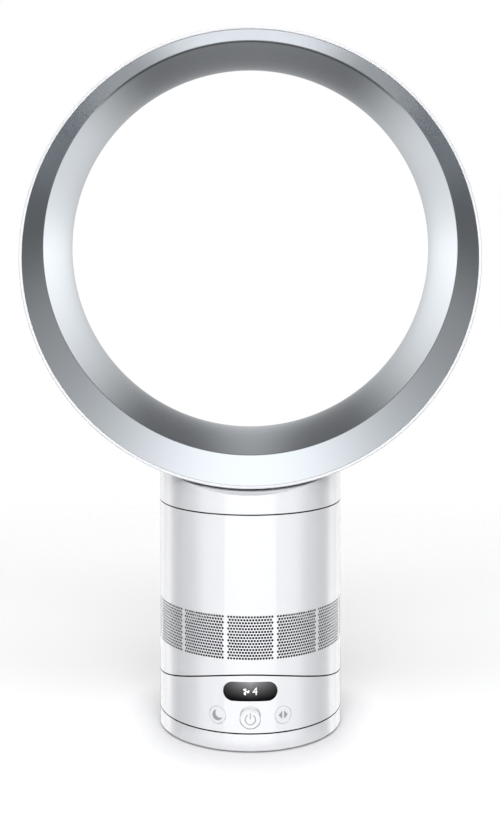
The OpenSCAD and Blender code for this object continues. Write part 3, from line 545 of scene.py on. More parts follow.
@dataclass(frozen=True)
class MetallicPaint(Coating):
    """Satin paint with metal flakes, and painted shade along the upper part of the line between bore and
    taper.
    """

    roughness: float
    flake: float = 0.7 * MM
    flake_edge: Pair = (0.1, 0.7)
    flaked: float = 0.97
    bore_axis: float = RING_AXIS_Z + BORE_RISE
    line_radius: float = THROAT_RADIUS + FLARE
    line_edge: Pair = (0.35 * MM, 0.75 * MM)
    line_lean: Pair = (0.62, 0.8)
    line_shade: float = 0.3
    cloud: float = 9.0 * MM
    spread: float = 0.03
    wave: float = 6.0 * MM
    wave_depth: float = 0.002 * MM

    def dress(self, surface: Surface) -> None:
        """Fine flakes and a slight unevenness under a satin finish.

        Args:
            surface: The material in the making.
        """
        sparkle = surface.cells(self.flake).rising(*self.flake_edge)
        painted = surface.tint(self.colour, scaled(self.colour, self.flaked), sparkle)
        # Painted shade: the crease line between bore and taper is darkened on its upper part only.
        crease_shade_colour = scaled(self.colour, self.line_shade)
        x, _, z = surface.parts("Object")
        up = z - self.bore_axis
        reach = x.reach(up)
        line = abs(reach - self.line_radius).falling(*self.line_edge)
        line = line * (up / (reach + MM)).rising(*self.line_lean)
        surface.coat(Base_Color=surface.tint(painted, crease_shade_colour, line), Metallic=1.0)
        surface.coat(Roughness=surface.noise(self.cloud) * self.spread + self.roughness)
        surface.relief(surface.noise(self.wave), self.wave_depth)


@dataclass(frozen=True)
class WorkedMetal(Coating):
    """Turned or pressed metal, with fine marks along one axis."""

    roughness: float
    mark: float = 0.15 * MM
    drawn_out: Point = (0.05, 0.05, 1.0)
    marked: float = 0.85
    spread: float = 0.15
    depth: float = 0.004 * MM

    def dress(self, surface: Surface) -> None:
        """Fine marks that vary its roughness and its relief.

        Args:
            surface: The material in the making.
        """
        drawn = surface.node("ShaderNodeMapping", Vector=surface.place(), Scale=self.drawn_out)
        marks = surface.node(
            "ShaderNodeTexNoise", Vector=drawn.outputs[0], Scale=1.0 / self.mark, Detail=3.0
        )
        lines = surface.value(marks.outputs[0])
        darker = scaled(self.colour, self.marked)
        surface.coat(Base_Color=surface.tint(self.colour, darker, lines), Metallic=1.0)
        surface.coat(Roughness=lines * self.spread + self.roughness)
        surface.relief(lines, self.depth)


@dataclass(frozen=True)
class OpenFoam(Coating):
    """Open-cell silencer foam."""

    cell: float = 1.2 * MM
    web: Pair = (0.0, 0.6)
    shade: float = 0.4
    roughness: float = 0.95
    depth: float = 0.3 * MM

    def dress(self, surface: Surface) -> None:
        """Dark cells with lighter webs between them.

        Args:
            surface: The material in the making.
        """
        webs = surface.cells(self.cell).rising(*self.web)
        darker = scaled(self.colour, self.shade)
        surface.coat(Base_Color=surface.tint(darker, self.colour, webs), Roughness=self.roughness)
        surface.relief(webs, self.depth)


@dataclass(frozen=True)
class CircuitBoard(Coating):
    """Lacquered board with its copper tracks showing through."""

    track: float = 1.6 * MM
    gap: float = 0.12
    lighter: float = 1.6
    roughness: float = 0.3
    smear: float = 2.0 * MM
    spread: float = 0.1
    depth: float = 0.02 * MM

    def dress(self, surface: Surface) -> None:
        """Lighter tracks on the lacquer.

        Args:
            surface: The material in the making.
        """
        tracks = surface.node(
            "ShaderNodeTexBrick", Vector=surface.place(), Scale=1.0 / self.track, Mortar_Size=self.gap
        )
        lines = surface.value(tracks.outputs["Fac"])
        surface.coat(Base_Color=surface.tint(self.colour, scaled(self.colour, self.lighter), lines))
        surface.coat(Roughness=surface.noise(self.smear) * self.spread + self.roughness)
        surface.relief(lines, self.depth)


@dataclass(frozen=True)
class LitSign(Coating):
    """A sign that shines through the display's window."""

    strength: float
    unlit: Colour = (0.5, 0.5, 0.5)
    roughness: float = 0.4
    lower: float = 0.9
    cloud: float = 1.5 * MM

    def dress(self, surface: Surface) -> None:
        """An even glow with a slight unevenness across it.

        Args:
            surface: The material in the making.
        """
        glow = surface.tint(self.colour, scaled(self.colour, self.lower), surface.noise(self.cloud))
        surface.coat(Base_Color=self.unlit, Roughness=self.roughness)
        surface.coat(Emission_Color=glow, Emission_Strength=self.strength)


class Finish(Enum):
    """The finishes of the fan. Each value is what makes the material."""

    # The white's second colour is the near-black of its painted shade.
    WHITE = Casing("white_gloss", (0.865, 0.873, 0.9), (0.014, 0.014, 0.016), 0.2)
    SILVER = MetallicPaint("silver_satin", (0.705, 0.748, 0.79), 0.2)
    # The window's second colour is that of its painted reflection.
    WINDOW = SmokedWindow("display_window", (0.002, 0.002, 0.0025), (0.42, 0.42, 0.43))
    GREY = Moulding("grey_moulding", (0.10, 0.10, 0.11), 0.5, depth=0.02 * MM)
    BLACK = Moulding("black_moulding", (0.02, 0.02, 0.022), 0.45, depth=0.01 * MM)
    RUBBER = Moulding("rubber", (0.018, 0.018, 0.018), 0.75, grain=0.9 * MM, depth=0.03 * MM)
    ACETAL = Moulding("acetal", (0.78, 0.77, 0.72), 0.4)
    STEEL = WorkedMetal("steel", (0.56, 0.57, 0.58), 0.25)
    COPPER = WorkedMetal("copper_wire", (0.62, 0.30, 0.14), 0.3, mark=0.3 * MM)
    FOAM = OpenFoam("silencer_foam", (0.02, 0.02, 0.022))
    BOARD = CircuitBoard("circuit_board", (0.01, 0.07, 0.035))
    PRINT = Moulding("sign_print", (0.40, 0.41, 0.43), 0.35, gloss=0.6)
    PALE_PRINT = Moulding("pale_sign_print", (0.52, 0.53, 0.55), 0.35, gloss=0.6)
    LIT = LitSign("lit_sign", (1.0, 1.0, 1.0), 0.8)


SLOT_FINISH = {
    "white_plastic": Finish.WHITE,
    "silver": Finish.SILVER,
    "display_glass": Finish.WINDOW,
    "grey_plastic": Finish.GREY,
    "black_plastic": Finish.BLACK,
    "rubber": Finish.RUBBER,
    "steel": Finish.STEEL,
    "copper": Finish.COPPER,
    "board": Finish.BOARD,
    "acetal": Finish.ACETAL,
    "foam": Finish.FOAM,
}


@dataclass
class Paintbox:
    """Makes each material once."""

    made: dict[Finish, bpy.types.Material] = field(default_factory=dict)

    def take(self, finish: Finish) -> bpy.types.Material:
        """Gives a finish's material, which is made the first time that it is asked for.

        Args:
            finish: The finish.

        Returns:
            Its material.
        """
        if finish not in self.made:
            self.made[finish] = finish.value.material()
        return self.made[finish]


@dataclass(frozen=True)
class Place:
    """Where a new piece belongs: its body, its slot in the record, and the nodes that it stands for."""

    body: str
    slot: str
    stands_for: tuple[str, ...] = ()


def linked(bm: bmesh.types.BMesh, name: str) -> bpy.types.Object:
    """Makes an object of a finished bmesh, and links it to the scene.

    Args:
        bm: The bmesh, which is freed.
        name: Name of the object and its mesh.

    Returns:
        The object.
    """
    mesh = bpy.data.meshes.new(name)
    bm.to_mesh(mesh)
    bm.free()
    made = bpy.data.objects.new(name, mesh)
    bpy.context.scene.collection.objects.link(made)
    return made


@dataclass
class Bench:
    """Turns finished bmeshes into pieces of the fan."""

    paints: Paintbox

    def piece(
        self, bm: bmesh.types.BMesh, name: str, finish: Finish, place: Place, crease: float = 35.0
    ) -> None:
        """Makes an object from a bmesh, and puts it on its body.

        Args:
            bm: The finished bmesh, which is freed.
            name: The piece's name.
            finish: Its finish.
            place: Where it belongs.
            crease: Angle in degrees above which an edge shows sharp.
        """
        limit = math.radians(crease)
        for face in bm.faces:
            face.smooth = True
        for edge in bm.edges:
            edge.smooth = len(edge.link_faces) == 2 and edge.calc_face_angle(0.0) < limit
        made = linked(bm, name)
        made.data.materials.append(self.paints.take(finish))
        shading = made.modifiers.new("even_shading", "WEIGHTED_NORMAL")
        shading.keep_sharp = True
        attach(made, place.body)
        if place.stands_for:
            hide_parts(*place.stands_for)
        LOG.info("piece %s: %d faces on %s", name, len(made.data.polygons), place.body)


@dataclass(frozen=True)
class Corner:
    """A point of a turned outline: its radius, its height along the axis, and its rounding."""

    radius: float
    height: float
    rounding: float = 0.0


def rounded(bm: bmesh.types.BMesh, geom: Sequence[Any], offset: float, affect: str) -> None:
    """Rounds some edges or vertices in five steps.

    Args:
        bm: The bmesh.
        geom: The edges or vertices.
        offset: Width of the rounding on each side.
        affect: EDGES or VERTICES.
    """
    bmesh.ops.bevel(
        bm, geom=geom, offset=offset, offset_type="OFFSET", affect=affect,
        segments=5, profile=0.5, material=-1,
    )


def thicken(bm: bmesh.types.BMesh, depth: float) -> None:
    """Gives flat faces a thickness along Y, and turns all faces outwards.

    Args:
        bm: The flat bmesh.
        depth: The thickness, positive to the back.
    """
    deeper = bmesh.ops.extrude_face_region(bm, geom=bm.faces[:], use_keep_orig=True)
    moved = [item for item in deeper["geom"] if isinstance(item, bmesh.types.BMVert)]
    bmesh.ops.translate(bm, verts=moved, vec=(0.0, depth, 0.0))
    bmesh.ops.recalc_face_normals(bm, faces=bm.faces[:])


def turned_ring(outline: Sequence[Corner], centre_z: float, steps: int) -> bmesh.types.BMesh:
    """Turns a closed outline about an axis along Y.

    Args:
        outline: Its corners, heights towards the front.
        centre_z: Height of the axis.
        steps: Steps of the full turn.

    Returns:
        A closed bmesh.
    """
    bm = bmesh.new()
    corners = [bm.verts.new((c.radius, -c.height, centre_z)) for c in outline]
    bm.faces.new(corners)
    for rounding in sorted({c.rounding for c in outline if c.rounding > 0.0}):
        rounded(bm, [v for v, c in zip(corners, outline) if c.rounding == rounding], rounding, "VERTICES")
    bmesh.ops.delete(bm, geom=bm.faces[:], context="FACES_ONLY")
    bmesh.ops.spin(
        bm, geom=bm.verts[:] + bm.edges[:], cent=(0.0, 0.0, centre_z), axis=(0.0, 1.0, 0.0),
        angle=math.tau, steps=steps, use_merge=True,
    )
    bmesh.ops.recalc_face_normals(bm, faces=bm.faces[:])
    return bm


def arc_corners(centre: Pair, radius: float, start: float, end: float, count: int) -> list[Corner]:
    """Corners along an arc of an outline.

    Args:
        centre: Its centre, as radius and height.
        radius: Its own radius.
        start: Angle in degrees where it starts, 0 towards the axis and 90 towards the front.
        end: Angle where it ends.
        count: Number of steps.

    Returns:
        The corners, both ends included.
    """
    angles = [math.radians(start + (end - start) * k / count) for k in range(count + 1)]
    return [Corner(centre[0] - radius * math.cos(a), centre[1] + radius * math.sin(a)) for a in angles]


@dataclass
class Ring:
    """The nozzle's ring: the outer shell, its back with the slot's lip, and the silver casing."""

    bench: Bench
    outer: float = 178.0 * MM
    front: float = 59.6 * MM
    back: float = 48.0 * MM
    wall: float = 2.5 * MM
    fillet: float = 8.0 * MM
    axis_z: float = RING_AXIS_Z
    rise: float = BORE_RISE
    rim_rounding: float = 1.1 * MM
    rim_inner_rounding: float = 0.6 * MM
    seam_rounding: float = 0.25 * MM
    throat: float = THROAT_RADIUS
    mouth: float = 12.4 * MM
    mouth_depth: float = 12.0 * MM
    mouth_inner_start: float = -12.0
    mouth_margin: float = 0.5 * MM
    lip_step: float = 1.4 * MM
    lip_length: float = 0.5 * MM
    lip_edge: float = 1.2 * MM
    lip_rounding: float = 0.2 * MM
    slot: float = 1.3 * MM
    nose: float = 6.0 * MM
    nose_end: float = -115.0
    flare: float = FLARE
    flare_power: float = 1.25
    crowding: float = 1.5
    taper: float = 14.6 * MM
    casing_wall: float = 2.0 * MM
    casing_gap: float = 0.1 * MM
    casing_rounding: float = 0.35 * MM
    skirt: float = 9.5 * MM
    skirt_root: float = 6.5 * MM
    crease_wall: float = 3.0 * MM
    crease_margin: float = 4.0 * MM
    crease_rounding: float = 0.8 * MM
    near: float = 0.01 * MM
    steps: int = 288
    bore_steps: int = 16
    mouth_steps: int = 14
    fillet_steps: int = 10
    inner_steps: int = 8

    @property
    def seam(self) -> float:
        """Height of the seam between the shell and the back."""
        return self.fillet - self.back

    @property
    def lip_radius(self) -> float:
        """Inner radius of the slot's lip."""
        return self.throat + self.lip_step

    @property
    def lip_height(self) -> float:
        """Height of the lip's edge."""
        return self.mouth_depth - self.back + self.lip_length

    @property
    def nose_centre(self) -> Pair:
        """The nose's centre.

        Returns:
            Its radius and height.
        """
        radius = self.throat + self.nose
        across = radius - self.lip_radius - self.lip_edge
        return radius, self.lip_height + math.sqrt((self.nose + self.slot) ** 2 - across ** 2)

    @property
    def crease(self) -> Pair:
        """Radius and height of the crease between the bore and the taper."""
        return self.throat + self.flare, self.front - self.taper

    def lift(self, bm: bmesh.types.BMesh, limit: float) -> None:
        """Lifts what belongs to the bore from the outer axis to the bore's axis.

        Args:
            bm: The ring, turned about the outer axis.
            limit: Radius inside which a point belongs to the bore.
        """
        inside = [v for v in bm.verts if v.co.x ** 2 + (v.co.z - self.axis_z) ** 2 < limit ** 2]
        bmesh.ops.translate(bm, verts=inside, vec=(0.0, 0.0, self.rise))

    def shell(self) -> None:
        """The outer shell: a white band whose front edge shows as the rim."""
        inside = self.outer - self.wall
        outline = [
            Corner(inside, self.front, self.rim_inner_rounding),
            Corner(self.outer, self.front, self.rim_rounding),
            Corner(self.outer, self.seam, self.seam_rounding),
            Corner(inside, self.seam),
        ]
        bm = turned_ring(outline, self.axis_z, self.steps)
        place = Place("nozzle", "white_plastic", ("ring_shell",))
        self.bench.piece(bm, "ring_outer_shell", Finish.WHITE, place)

    def rear(self) -> None:
        """The back: a rounded edge, a flat face, and the mouth that carries the slot's lip."""
        fillet = (self.outer - self.fillet, self.seam)
        mouth = (self.lip_radius + self.mouth, self.mouth_depth - self.back)
        start = -math.degrees(math.asin(self.mouth_depth / self.mouth))
        outline = arc_corners(fillet, self.fillet, -180.0, -90.0, self.fillet_steps)
        outline += arc_corners(mouth, self.mouth, start, 0.0, self.mouth_steps)
        outline += [
            Corner(self.lip_radius, self.lip_height, self.lip_rounding),
            Corner(self.lip_radius + self.lip_edge, self.lip_height, self.lip_rounding),
            Corner(self.lip_radius + self.wall, mouth[1]),
        ]
        inside = self.mouth - self.wall
        outline += arc_corners(mouth, inside, self.mouth_inner_start, start, self.fillet_steps)
        outline += [Corner(fillet[0], self.wall - self.back), Corner(self.outer - self.wall, self.seam)]
        bm = turned_ring(outline, self.axis_z, self.steps)
        self.lift(bm, mouth[0] + self.mouth_margin)
        place = Place("nozzle", "white_plastic", ("ring_back",))
        self.bench.piece(bm, "ring_rear_cover", Finish.WHITE, place)

    def bore_line(self, inset: float, count: int) -> list[Corner]:
        """The bore from the throat to the crease, which opens more and more towards the front.

        Args:
            inset: How far it lies inside the casing's wall.
            count: Number of steps.

        Returns:
            Its corners, neither end included.
        """
        start = self.nose_centre[1]
        length = self.crease[1] - start
        shares = [(k / count) ** self.crowding for k in range(1, count)]
        return [
            Corner(self.throat + inset + self.flare * share ** self.flare_power, start + share * length)
            for share in shares
        ]

    def on_crease(self, point: Vector) -> bool:
        """Tells which points of the lifted casing lie on the crease.

        Args:
            point: The point.

        Returns:
            True on the crease.
        """
        radius, height = self.crease
        reach = math.hypot(point.x, point.z - self.axis_z - self.rise)
        return abs(reach - radius) < self.near and abs(point.y + height) < self.near

    def silver(self) -> None:
        """The silver casing: nose, bore, crease and front taper, whose rim's axis is lower."""
        rim = self.outer - self.wall - self.casing_gap
        skirt_end = self.front - self.skirt
        inside = self.nose - self.casing_wall
        radius, height = self.crease
        outline = arc_corners(self.nose_centre, self.nose, self.nose_end, 0.0, self.mouth_steps)
        outline += self.bore_line(0.0, self.bore_steps)
        outline += [
            Corner(radius, height),
            Corner(rim, self.front, self.casing_rounding),
            Corner(rim, skirt_end),
            Corner(rim - self.casing_wall, skirt_end),
            Corner(rim - self.casing_wall, self.front - self.skirt_root),
            Corner(radius + self.crease_wall, height),
        ]
        outline += reversed(self.bore_line(self.casing_wall, self.inner_steps))
        outline += arc_corners(self.nose_centre, inside, 0.0, self.nose_end, self.inner_steps)
        bm = turned_ring(outline, self.axis_z, self.steps)
        self.lift(bm, radius + self.crease_margin)
        creased = [edge for edge in bm.edges if all(self.on_crease(v.co) for v in edge.verts)]
        rounded(bm, creased, self.crease_rounding, "EDGES")
        place = Place("nozzle", "silver", ("ring_inner_casing", "ring_taper"))
        self.bench.piece(bm, "ring_silver_casing", Finish.SILVER, place)

    def build(self) -> None:
        """Builds the ring's three casings."""
        self.shell()
        self.rear()
        self.silver()


def bend(bm: bmesh.types.BMesh, radius: float, azimuth: float, centre_z: float) -> None:
    """Bends what is drawn flat in X and Z, its depth along Y, round the column.

    Args:
        bm: The flat bmesh.
        radius: Radius of the face that was at Y = 0.
        azimuth: Angle of its middle from the front, in degrees, positive to the right.
        centre_z: Height of its middle.
    """
    middle = math.radians(azimuth)
    for vert in bm.verts:
        angle = middle + vert.co.x / radius
        distance = radius - vert.co.y
        vert.co = (distance * math.sin(angle), -distance * math.cos(angle), centre_z + vert.co.z)


@dataclass
class Inlet:
    """The perforated panels round the body, hole by hole."""

    bench: Bench
    radius: float = COLUMN_RADIUS
    wall: float = 1.0 * MM
    low: float = INLET_LOW
    height: float = INLET_HEIGHT
    panels: int = 12
    half_angle: float = 14.1
    rows: int = 15
    columns: int = 16
    pitch: float = 2.25 * MM
    row_pitch: float = 2.243 * MM
    hole: float = 1.9 * MM
    sides: int = 10
    sharp_angle: float = 40.0

    def cell(self, bm: bmesh.types.BMesh, x: float, z: float) -> None:
        """Adds one cell with its hole.

        Args:
            bm: The flat panel.
            x: The hole's centre along the panel.
            z: Its height.
        """
        half_w, half_h = self.pitch / 2, self.row_pitch / 2
        lower = [(u, -half_h) for u in (-half_w, 0.0, half_w)]
        upper = [(u, half_h) for u in (half_w, 0.0, -half_w)]
        outer = [bm.verts.new((x + u, 0.0, z + v)) for u, v in lower + upper]
        radius, turn = self.hole / 2, math.tau / self.sides
        inner = [
            bm.verts.new((x + radius * math.cos(k * turn), 0.0, z + radius * math.sin(k * turn)))
            for k in range(self.sides)
        ]
        loops = [bm.edges.new((loop[k - 1], loop[k])) for loop in (outer, inner) for k in range(len(loop))]
        bmesh.ops.triangle_fill(bm, use_beauty=True, edges=loops)

    def strip(self, bm: bmesh.types.BMesh, x0: float, x1: float, z0: float, z1: float) -> None:
        """Adds one plain strip.

        Args:
            bm: The flat panel.
            x0: Its left edge.
            x1: Its right edge.
            z0: Its lower edge.
            z1: Its upper edge.
        """
        corners = [bm.verts.new((x, 0.0, z)) for x, z in ((x0, z0), (x1, z0), (x1, z1), (x0, z1))]
        bm.faces.new(corners)

    def panel(self) -> bmesh.types.BMesh:
        """One flat panel, with its thickness.

        Returns:
            The panel, not yet bent.
        """
        bm = bmesh.new()
        half = math.radians(self.half_angle) * self.radius
        margin = (self.height - self.rows * self.row_pitch) / 2
        for row in range(self.rows):
            z = margin + (row + 0.5) * self.row_pitch
            count = self.columns - row % 2
            reach = count * self.pitch / 2
            for column in range(count):
                self.cell(bm, (column + 0.5) * self.pitch - reach, z)
            for side in (-1, 1):
                low, high = sorted((side * reach, side * half))
                self.strip(bm, low, high, z - self.row_pitch / 2, z + self.row_pitch / 2)
        for low, high in ((0.0, margin), (self.height - margin, self.height)):
            for k in range(self.columns):
                step = 2 * half / self.columns
                self.strip(bm, k * step - half, (k + 1) * step - half, low, high)
        bmesh.ops.remove_doubles(bm, verts=bm.verts[:], dist=MERGE)
        bmesh.ops.recalc_face_normals(bm, faces=bm.faces[:])
        if bm.faces[0].normal.y > 0.0:
            bmesh.ops.reverse_faces(bm, faces=bm.faces[:])
        thicken(bm, self.wall)
        return bm

    def build(self) -> None:
        """Bends one panel round the body and repeats it."""
        bm = self.panel()
        bend(bm, self.radius, 0.0, self.low)
        first = bm.verts[:] + bm.edges[:] + bm.faces[:]
        bmesh.ops.spin(
            bm, geom=first, cent=(0.0, 0.0, 0.0), axis=(0.0, 0.0, 1.0), use_duplicate=True,
            angle=math.tau * (self.panels - 1) / self.panels, steps=self.panels - 1,
        )
        place = Place("body", "white_plastic", ("inlet_grille",))
        self.bench.piece(bm, "inlet_mesh", Finish.WHITE, place, self.sharp_angle)


@dataclass
class Sign:
    """A thin flat sign, drawn in X and Z and then bent onto a round face."""

    thickness: float = 0.03 * MM
    strip: float = 0.7 * MM
    disc_steps: int = 32
    arc_steps: int = 48
    crescent_steps: int = 28
    bm: bmesh.types.BMesh = field(default_factory=bmesh.new)

    def disc(self, x: float, z: float, radius: float, stretch: float, turn: float) -> None:
        """Adds an oval.

        Args:
            x: Its centre.
            z: Its centre's height.
            radius: Its radius along its short side.
            stretch: Length over width.
            turn: Turn of the long side from X, in degrees.
        """
        place = (
            Matrix.Translation((x, 0.0, z))
            @ Matrix.Rotation(-math.radians(turn), 4, "Y")
            @ Matrix.Diagonal((stretch, 1.0, 1.0, 1.0))
            @ Matrix.Rotation(math.pi / 2, 4, "X")
        )
        bmesh.ops.create_circle(
            self.bm, cap_ends=True, segments=self.disc_steps, radius=radius, matrix=place
        )

    def arc(self, radius: float, width: float, start: float, end: float, z: float) -> None:
        """Adds a stretch of ring.

        Args:
            radius: Its middle radius.
            width: Its width.
            start: Where it starts, in degrees from +X, anticlockwise from the front.
            end: Where it ends.
            z: Height of its centre.
        """
        a = math.radians(start)
        ends = [
            self.bm.verts.new((r * math.cos(a), 0.0, z + r * math.sin(a)))
            for r in (radius - width / 2, radius + width / 2)
        ]
        edge = self.bm.edges.new(ends)
        bmesh.ops.spin(
            self.bm, geom=[*ends, edge], cent=(0.0, 0.0, z), axis=(0.0, -1.0, 0.0),
            angle=math.radians(end - start), steps=self.arc_steps,
        )

    def shape(self, points: Iterable[Pair]) -> None:
        """Adds a flat shape from its corners."""
        self.bm.faces.new([self.bm.verts.new((x, 0.0, z)) for x, z in points])

    def crescent(self, radius: float, bite: float, shift: Pair) -> None:
        """Adds a crescent: what a second circle leaves of the first.

        Args:
            radius: Radius of the first circle.
            bite: Radius of the second.
            shift: The second circle's centre.
        """
        gap = math.hypot(*shift)
        toward = math.atan2(shift[1], shift[0])
        spread = math.acos((radius ** 2 + gap ** 2 - bite ** 2) / (2 * radius * gap))
        inner_spread = math.acos((bite ** 2 + gap ** 2 - radius ** 2) / (2 * bite * gap))
        count = self.crescent_steps
        sweep = math.tau - 2 * spread
        outside = [toward + spread + sweep * k / count for k in range(count + 1)]
        inner_end = toward + math.pi + inner_spread
        inside = [inner_end - 2 * inner_spread * k / count for k in range(1, count)]
        points = [(radius * math.cos(a), radius * math.sin(a)) for a in outside]
        points += [(shift[0] + bite * math.cos(a), shift[1] + bite * math.sin(a)) for a in inside]
        self.shape(points)

    def figure(self, text: str, size: float, x: float, z: float) -> None:
        """Adds a figure in the plain built-in face.

        Args:
            text: The figure.
            size: Its size.
            x: Its middle.
            z: Its middle's height.
        """
        curve = bpy.data.curves.new("figure", "FONT")
        curve.body = text
        curve.size = size
        curve.align_x = "CENTER"
        curve.align_y = "CENTER"
        carrier = bpy.data.objects.new("figure", curve)
        bpy.context.scene.collection.objects.link(carrier)
        bpy.context.view_layer.update()
        mesh = bpy.data.meshes.new_from_object(carrier)
        mesh.transform(Matrix.Translation((x, 0.0, z)) @ Matrix.Rotation(math.pi / 2, 4, "X"))
        self.bm.from_mesh(mesh)
        bpy.data.objects.remove(carrier)
        bpy.data.meshes.remove(mesh)

    def laid_on(self, radius: float, azimuth: float, centre_z: float) -> bmesh.types.BMesh:
        """Lays the sign on a round face as a thin layer.

        Args:
            radius: The face's radius.
            azimuth: Angle of the sign's middle, in degrees.
            centre_z: Height of its middle.

        Returns:
            The finished layer.
        """
        bm = self.bm
        for face in bm.faces:
            if face.normal.y > 0.0:
                face.normal_flip()
        reach = max(abs(v.co.x) for v in bm.verts)
        cuts = int(reach / self.strip)
        for k in range(-cuts, cuts + 1):
            bmesh.ops.bisect_plane(
                bm, geom=bm.verts[:] + bm.edges[:] + bm.faces[:], dist=MERGE / 10,
                plane_co=(k * self.strip, 0.0, 0.0), plane_no=(1.0, 0.0, 0.0),
            )
        thicken(bm, -self.thickness)
        bend(bm, radius, azimuth, centre_z)
        return bm


@dataclass
class Controls:
    """The signs on the buttons and in the display."""

    bench: Bench
    radius: float = COLUMN_RADIUS
    button_angle: float = 20.0
    button_z: float = 27.5 * MM
    power_z: float = POWER_Z
    power_depth: float = 1.4 * MM
    display_z: float = 46.43 * MM
    moon: float = 4.2 * MM
    bite: float = 3.6 * MM
    bite_shift: Pair = (1.9 * MM, 1.6 * MM)
    open_ring: float = 3.9 * MM
    open_ring_line: float = 0.9 * MM
    open_ring_ends: Pair = (122.0, 418.0)
    open_ring_z: float = -0.9 * MM
    bar: Pair = (0.3 * MM, 5.0 * MM)
    arrow: Pair = (0.75 * MM, 3.75 * MM)
    arrow_half: float = 3.2 * MM
    fan_x: float = -3.3 * MM
    fan_reach: float = 1.75 * MM
    blades: int = 3
    blade: Pair = (0.8 * MM, 1.55)
    blade_turn: float = 62.0
    stalk: Pair = (0.4 * MM, 2.2)
    figure_size: float = 8.4 * MM
    figure_x: float = 3.6 * MM

    def sleep(self) -> None:
        """The crescent on the sleep button."""
        sign = Sign()
        sign.crescent(self.moon, self.bite, self.bite_shift)
        bm = sign.laid_on(self.radius, -self.button_angle, self.button_z)
        self.bench.piece(bm, "sleep_sign", Finish.PRINT, Place("sleep_button", "grey_plastic"))

    def power(self) -> None:
        """The open ring and bar on the power button."""
        sign = Sign()
        half = self.open_ring_line / 2
        low, high = (self.open_ring_z + end for end in self.bar)
        sign.arc(self.open_ring, self.open_ring_line, *self.open_ring_ends, self.open_ring_z)
        sign.shape([(-half, low), (half, low), (half, high), (-half, high)])
        bm = sign.laid_on(self.radius - self.power_depth, 0.0, self.power_z)
        self.bench.piece(bm, "power_sign", Finish.PALE_PRINT, Place("power_button", "grey_plastic"))

    def swing(self) -> None:
        """Two arrows that point apart, on the swing button."""
        sign = Sign()
        for side in (-1, 1):
            near, far = (side * end for end in self.arrow)
            sign.shape([(near, -self.arrow_half), (far, 0.0), (near, self.arrow_half)])
        bm = sign.laid_on(self.radius, self.button_angle, self.button_z)
        self.bench.piece(bm, "swing_sign", Finish.PRINT, Place("swing_button", "grey_plastic"))

    def display(self) -> None:
        """A small fan and the figure of the speed, lit in the window."""
        sign = Sign()
        for k in range(self.blades):
            turn = 360.0 / self.blades * k
            x = self.fan_reach * math.cos(math.radians(turn))
            z = self.fan_reach * math.sin(math.radians(turn))
            sign.disc(self.fan_x + x, z, *self.blade, turn + self.blade_turn)
            sign.disc(self.fan_x + x / 2, z / 2, *self.stalk, turn)
        sign.figure("4", self.figure_size, self.figure_x, 0.0)
        bm = sign.laid_on(self.radius, 0.0, self.display_z)
        self.bench.piece(bm, "display_signs", Finish.LIT, Place("base", "display_glass"))

    def build(self) -> None:
        """Makes the four signs."""
        self.sleep()
        self.power()
        self.swing()
        self.display()


@dataclass
class Solids:
    """The carried-over solids, each in the finish of its slot in the record."""

    frame: dict[str, Any]
    paints: Paintbox

    def build(self) -> None:
        """Dresses every node."""
        slots = {row["node"]: row["material_slot"] for row in self.frame["record"]["subparts"]}
        for name, node in sorted(self.frame["nodes"].items()):
            node.data.materials.clear()
            node.data.materials.append(self.paints.take(SLOT_FINISH[slots[name]]))
            LOG.info("solid %s: %s", name, slots[name])


@dataclass
class Floor:
    """A pale round floor that keeps the fan's contact shade and fades into the white behind it.

    Gloss mirrors only two parts of it: a bright patch behind the fan, and a dim one before the foot.
    """

    radius: float = 1.3
    steps: int = 128
    drop: float = 0.2 * MM
    colour: Colour = (0.8, 0.8, 0.81)
    roughness: float = 0.6
    specular: float = 0.05
    shade_reach: float = 45.0 * MM
    seen_glow: float = 0.36
    mirrored_glow: float = 0.8
    foot_edge: Pair = (0.082, 0.1)
    foot_rear: Pair = (-0.055, -0.035)
    patch_side: Pair = (0.07, 0.25)
    patch_near: Pair = (0.16, 0.22)
    patch_far: Pair = (0.36, 0.45)
    fade: Pair = (0.5, 1.0)

    def build(self) -> None:
        """Makes the floor and its surface."""
        bm = bmesh.new()
        bmesh.ops.create_circle(bm, cap_ends=True, segments=self.steps, radius=self.radius)
        made = linked(bm, "floor")
        made.location = (0.0, 0.0, -self.drop)
        made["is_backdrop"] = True
        surface = Surface("studio_floor")
        surface.coat(Base_Color=self.colour, Roughness=self.roughness, Specular_IOR_Level=self.specular)
        x, y, _ = surface.parts("Object")
        far = x.reach(y)
        camera, glossy = surface.ray("Is Camera Ray"), surface.ray("Is Glossy Ray")
        shade = surface.node("ShaderNodeAmbientOcclusion", Distance=self.shade_reach)
        open_sky = surface.value(shade.outputs["AO"])
        near = far.falling(*self.foot_edge) * y.falling(*self.foot_rear)
        bright = camera * open_sky * open_sky * self.seen_glow + glossy * (1.0 - near) * self.mirrored_glow
        glow = surface.node("ShaderNodeEmission", Color=WHITE_LIGHT, Strength=bright)
        lit = surface.node("ShaderNodeAddShader")
        surface.put(lit.inputs[0], surface.shader.outputs[0])
        surface.put(lit.inputs[1], glow.outputs[0])
        patch = abs(x).falling(*self.patch_side) * y.rising(*self.patch_near) * y.falling(*self.patch_far)
        faded = camera * far.rising(*self.fade) + glossy * (1.0 - patch - near)
        mixed = surface.node("ShaderNodeMixShader", Fac=faded)
        surface.put(mixed.inputs[1], lit.outputs[0])
        surface.put(mixed.inputs[2], surface.node("ShaderNodeBsdfTransparent").outputs[0])
        surface.show(mixed.outputs[0])
        made.data.materials.append(surface.material)


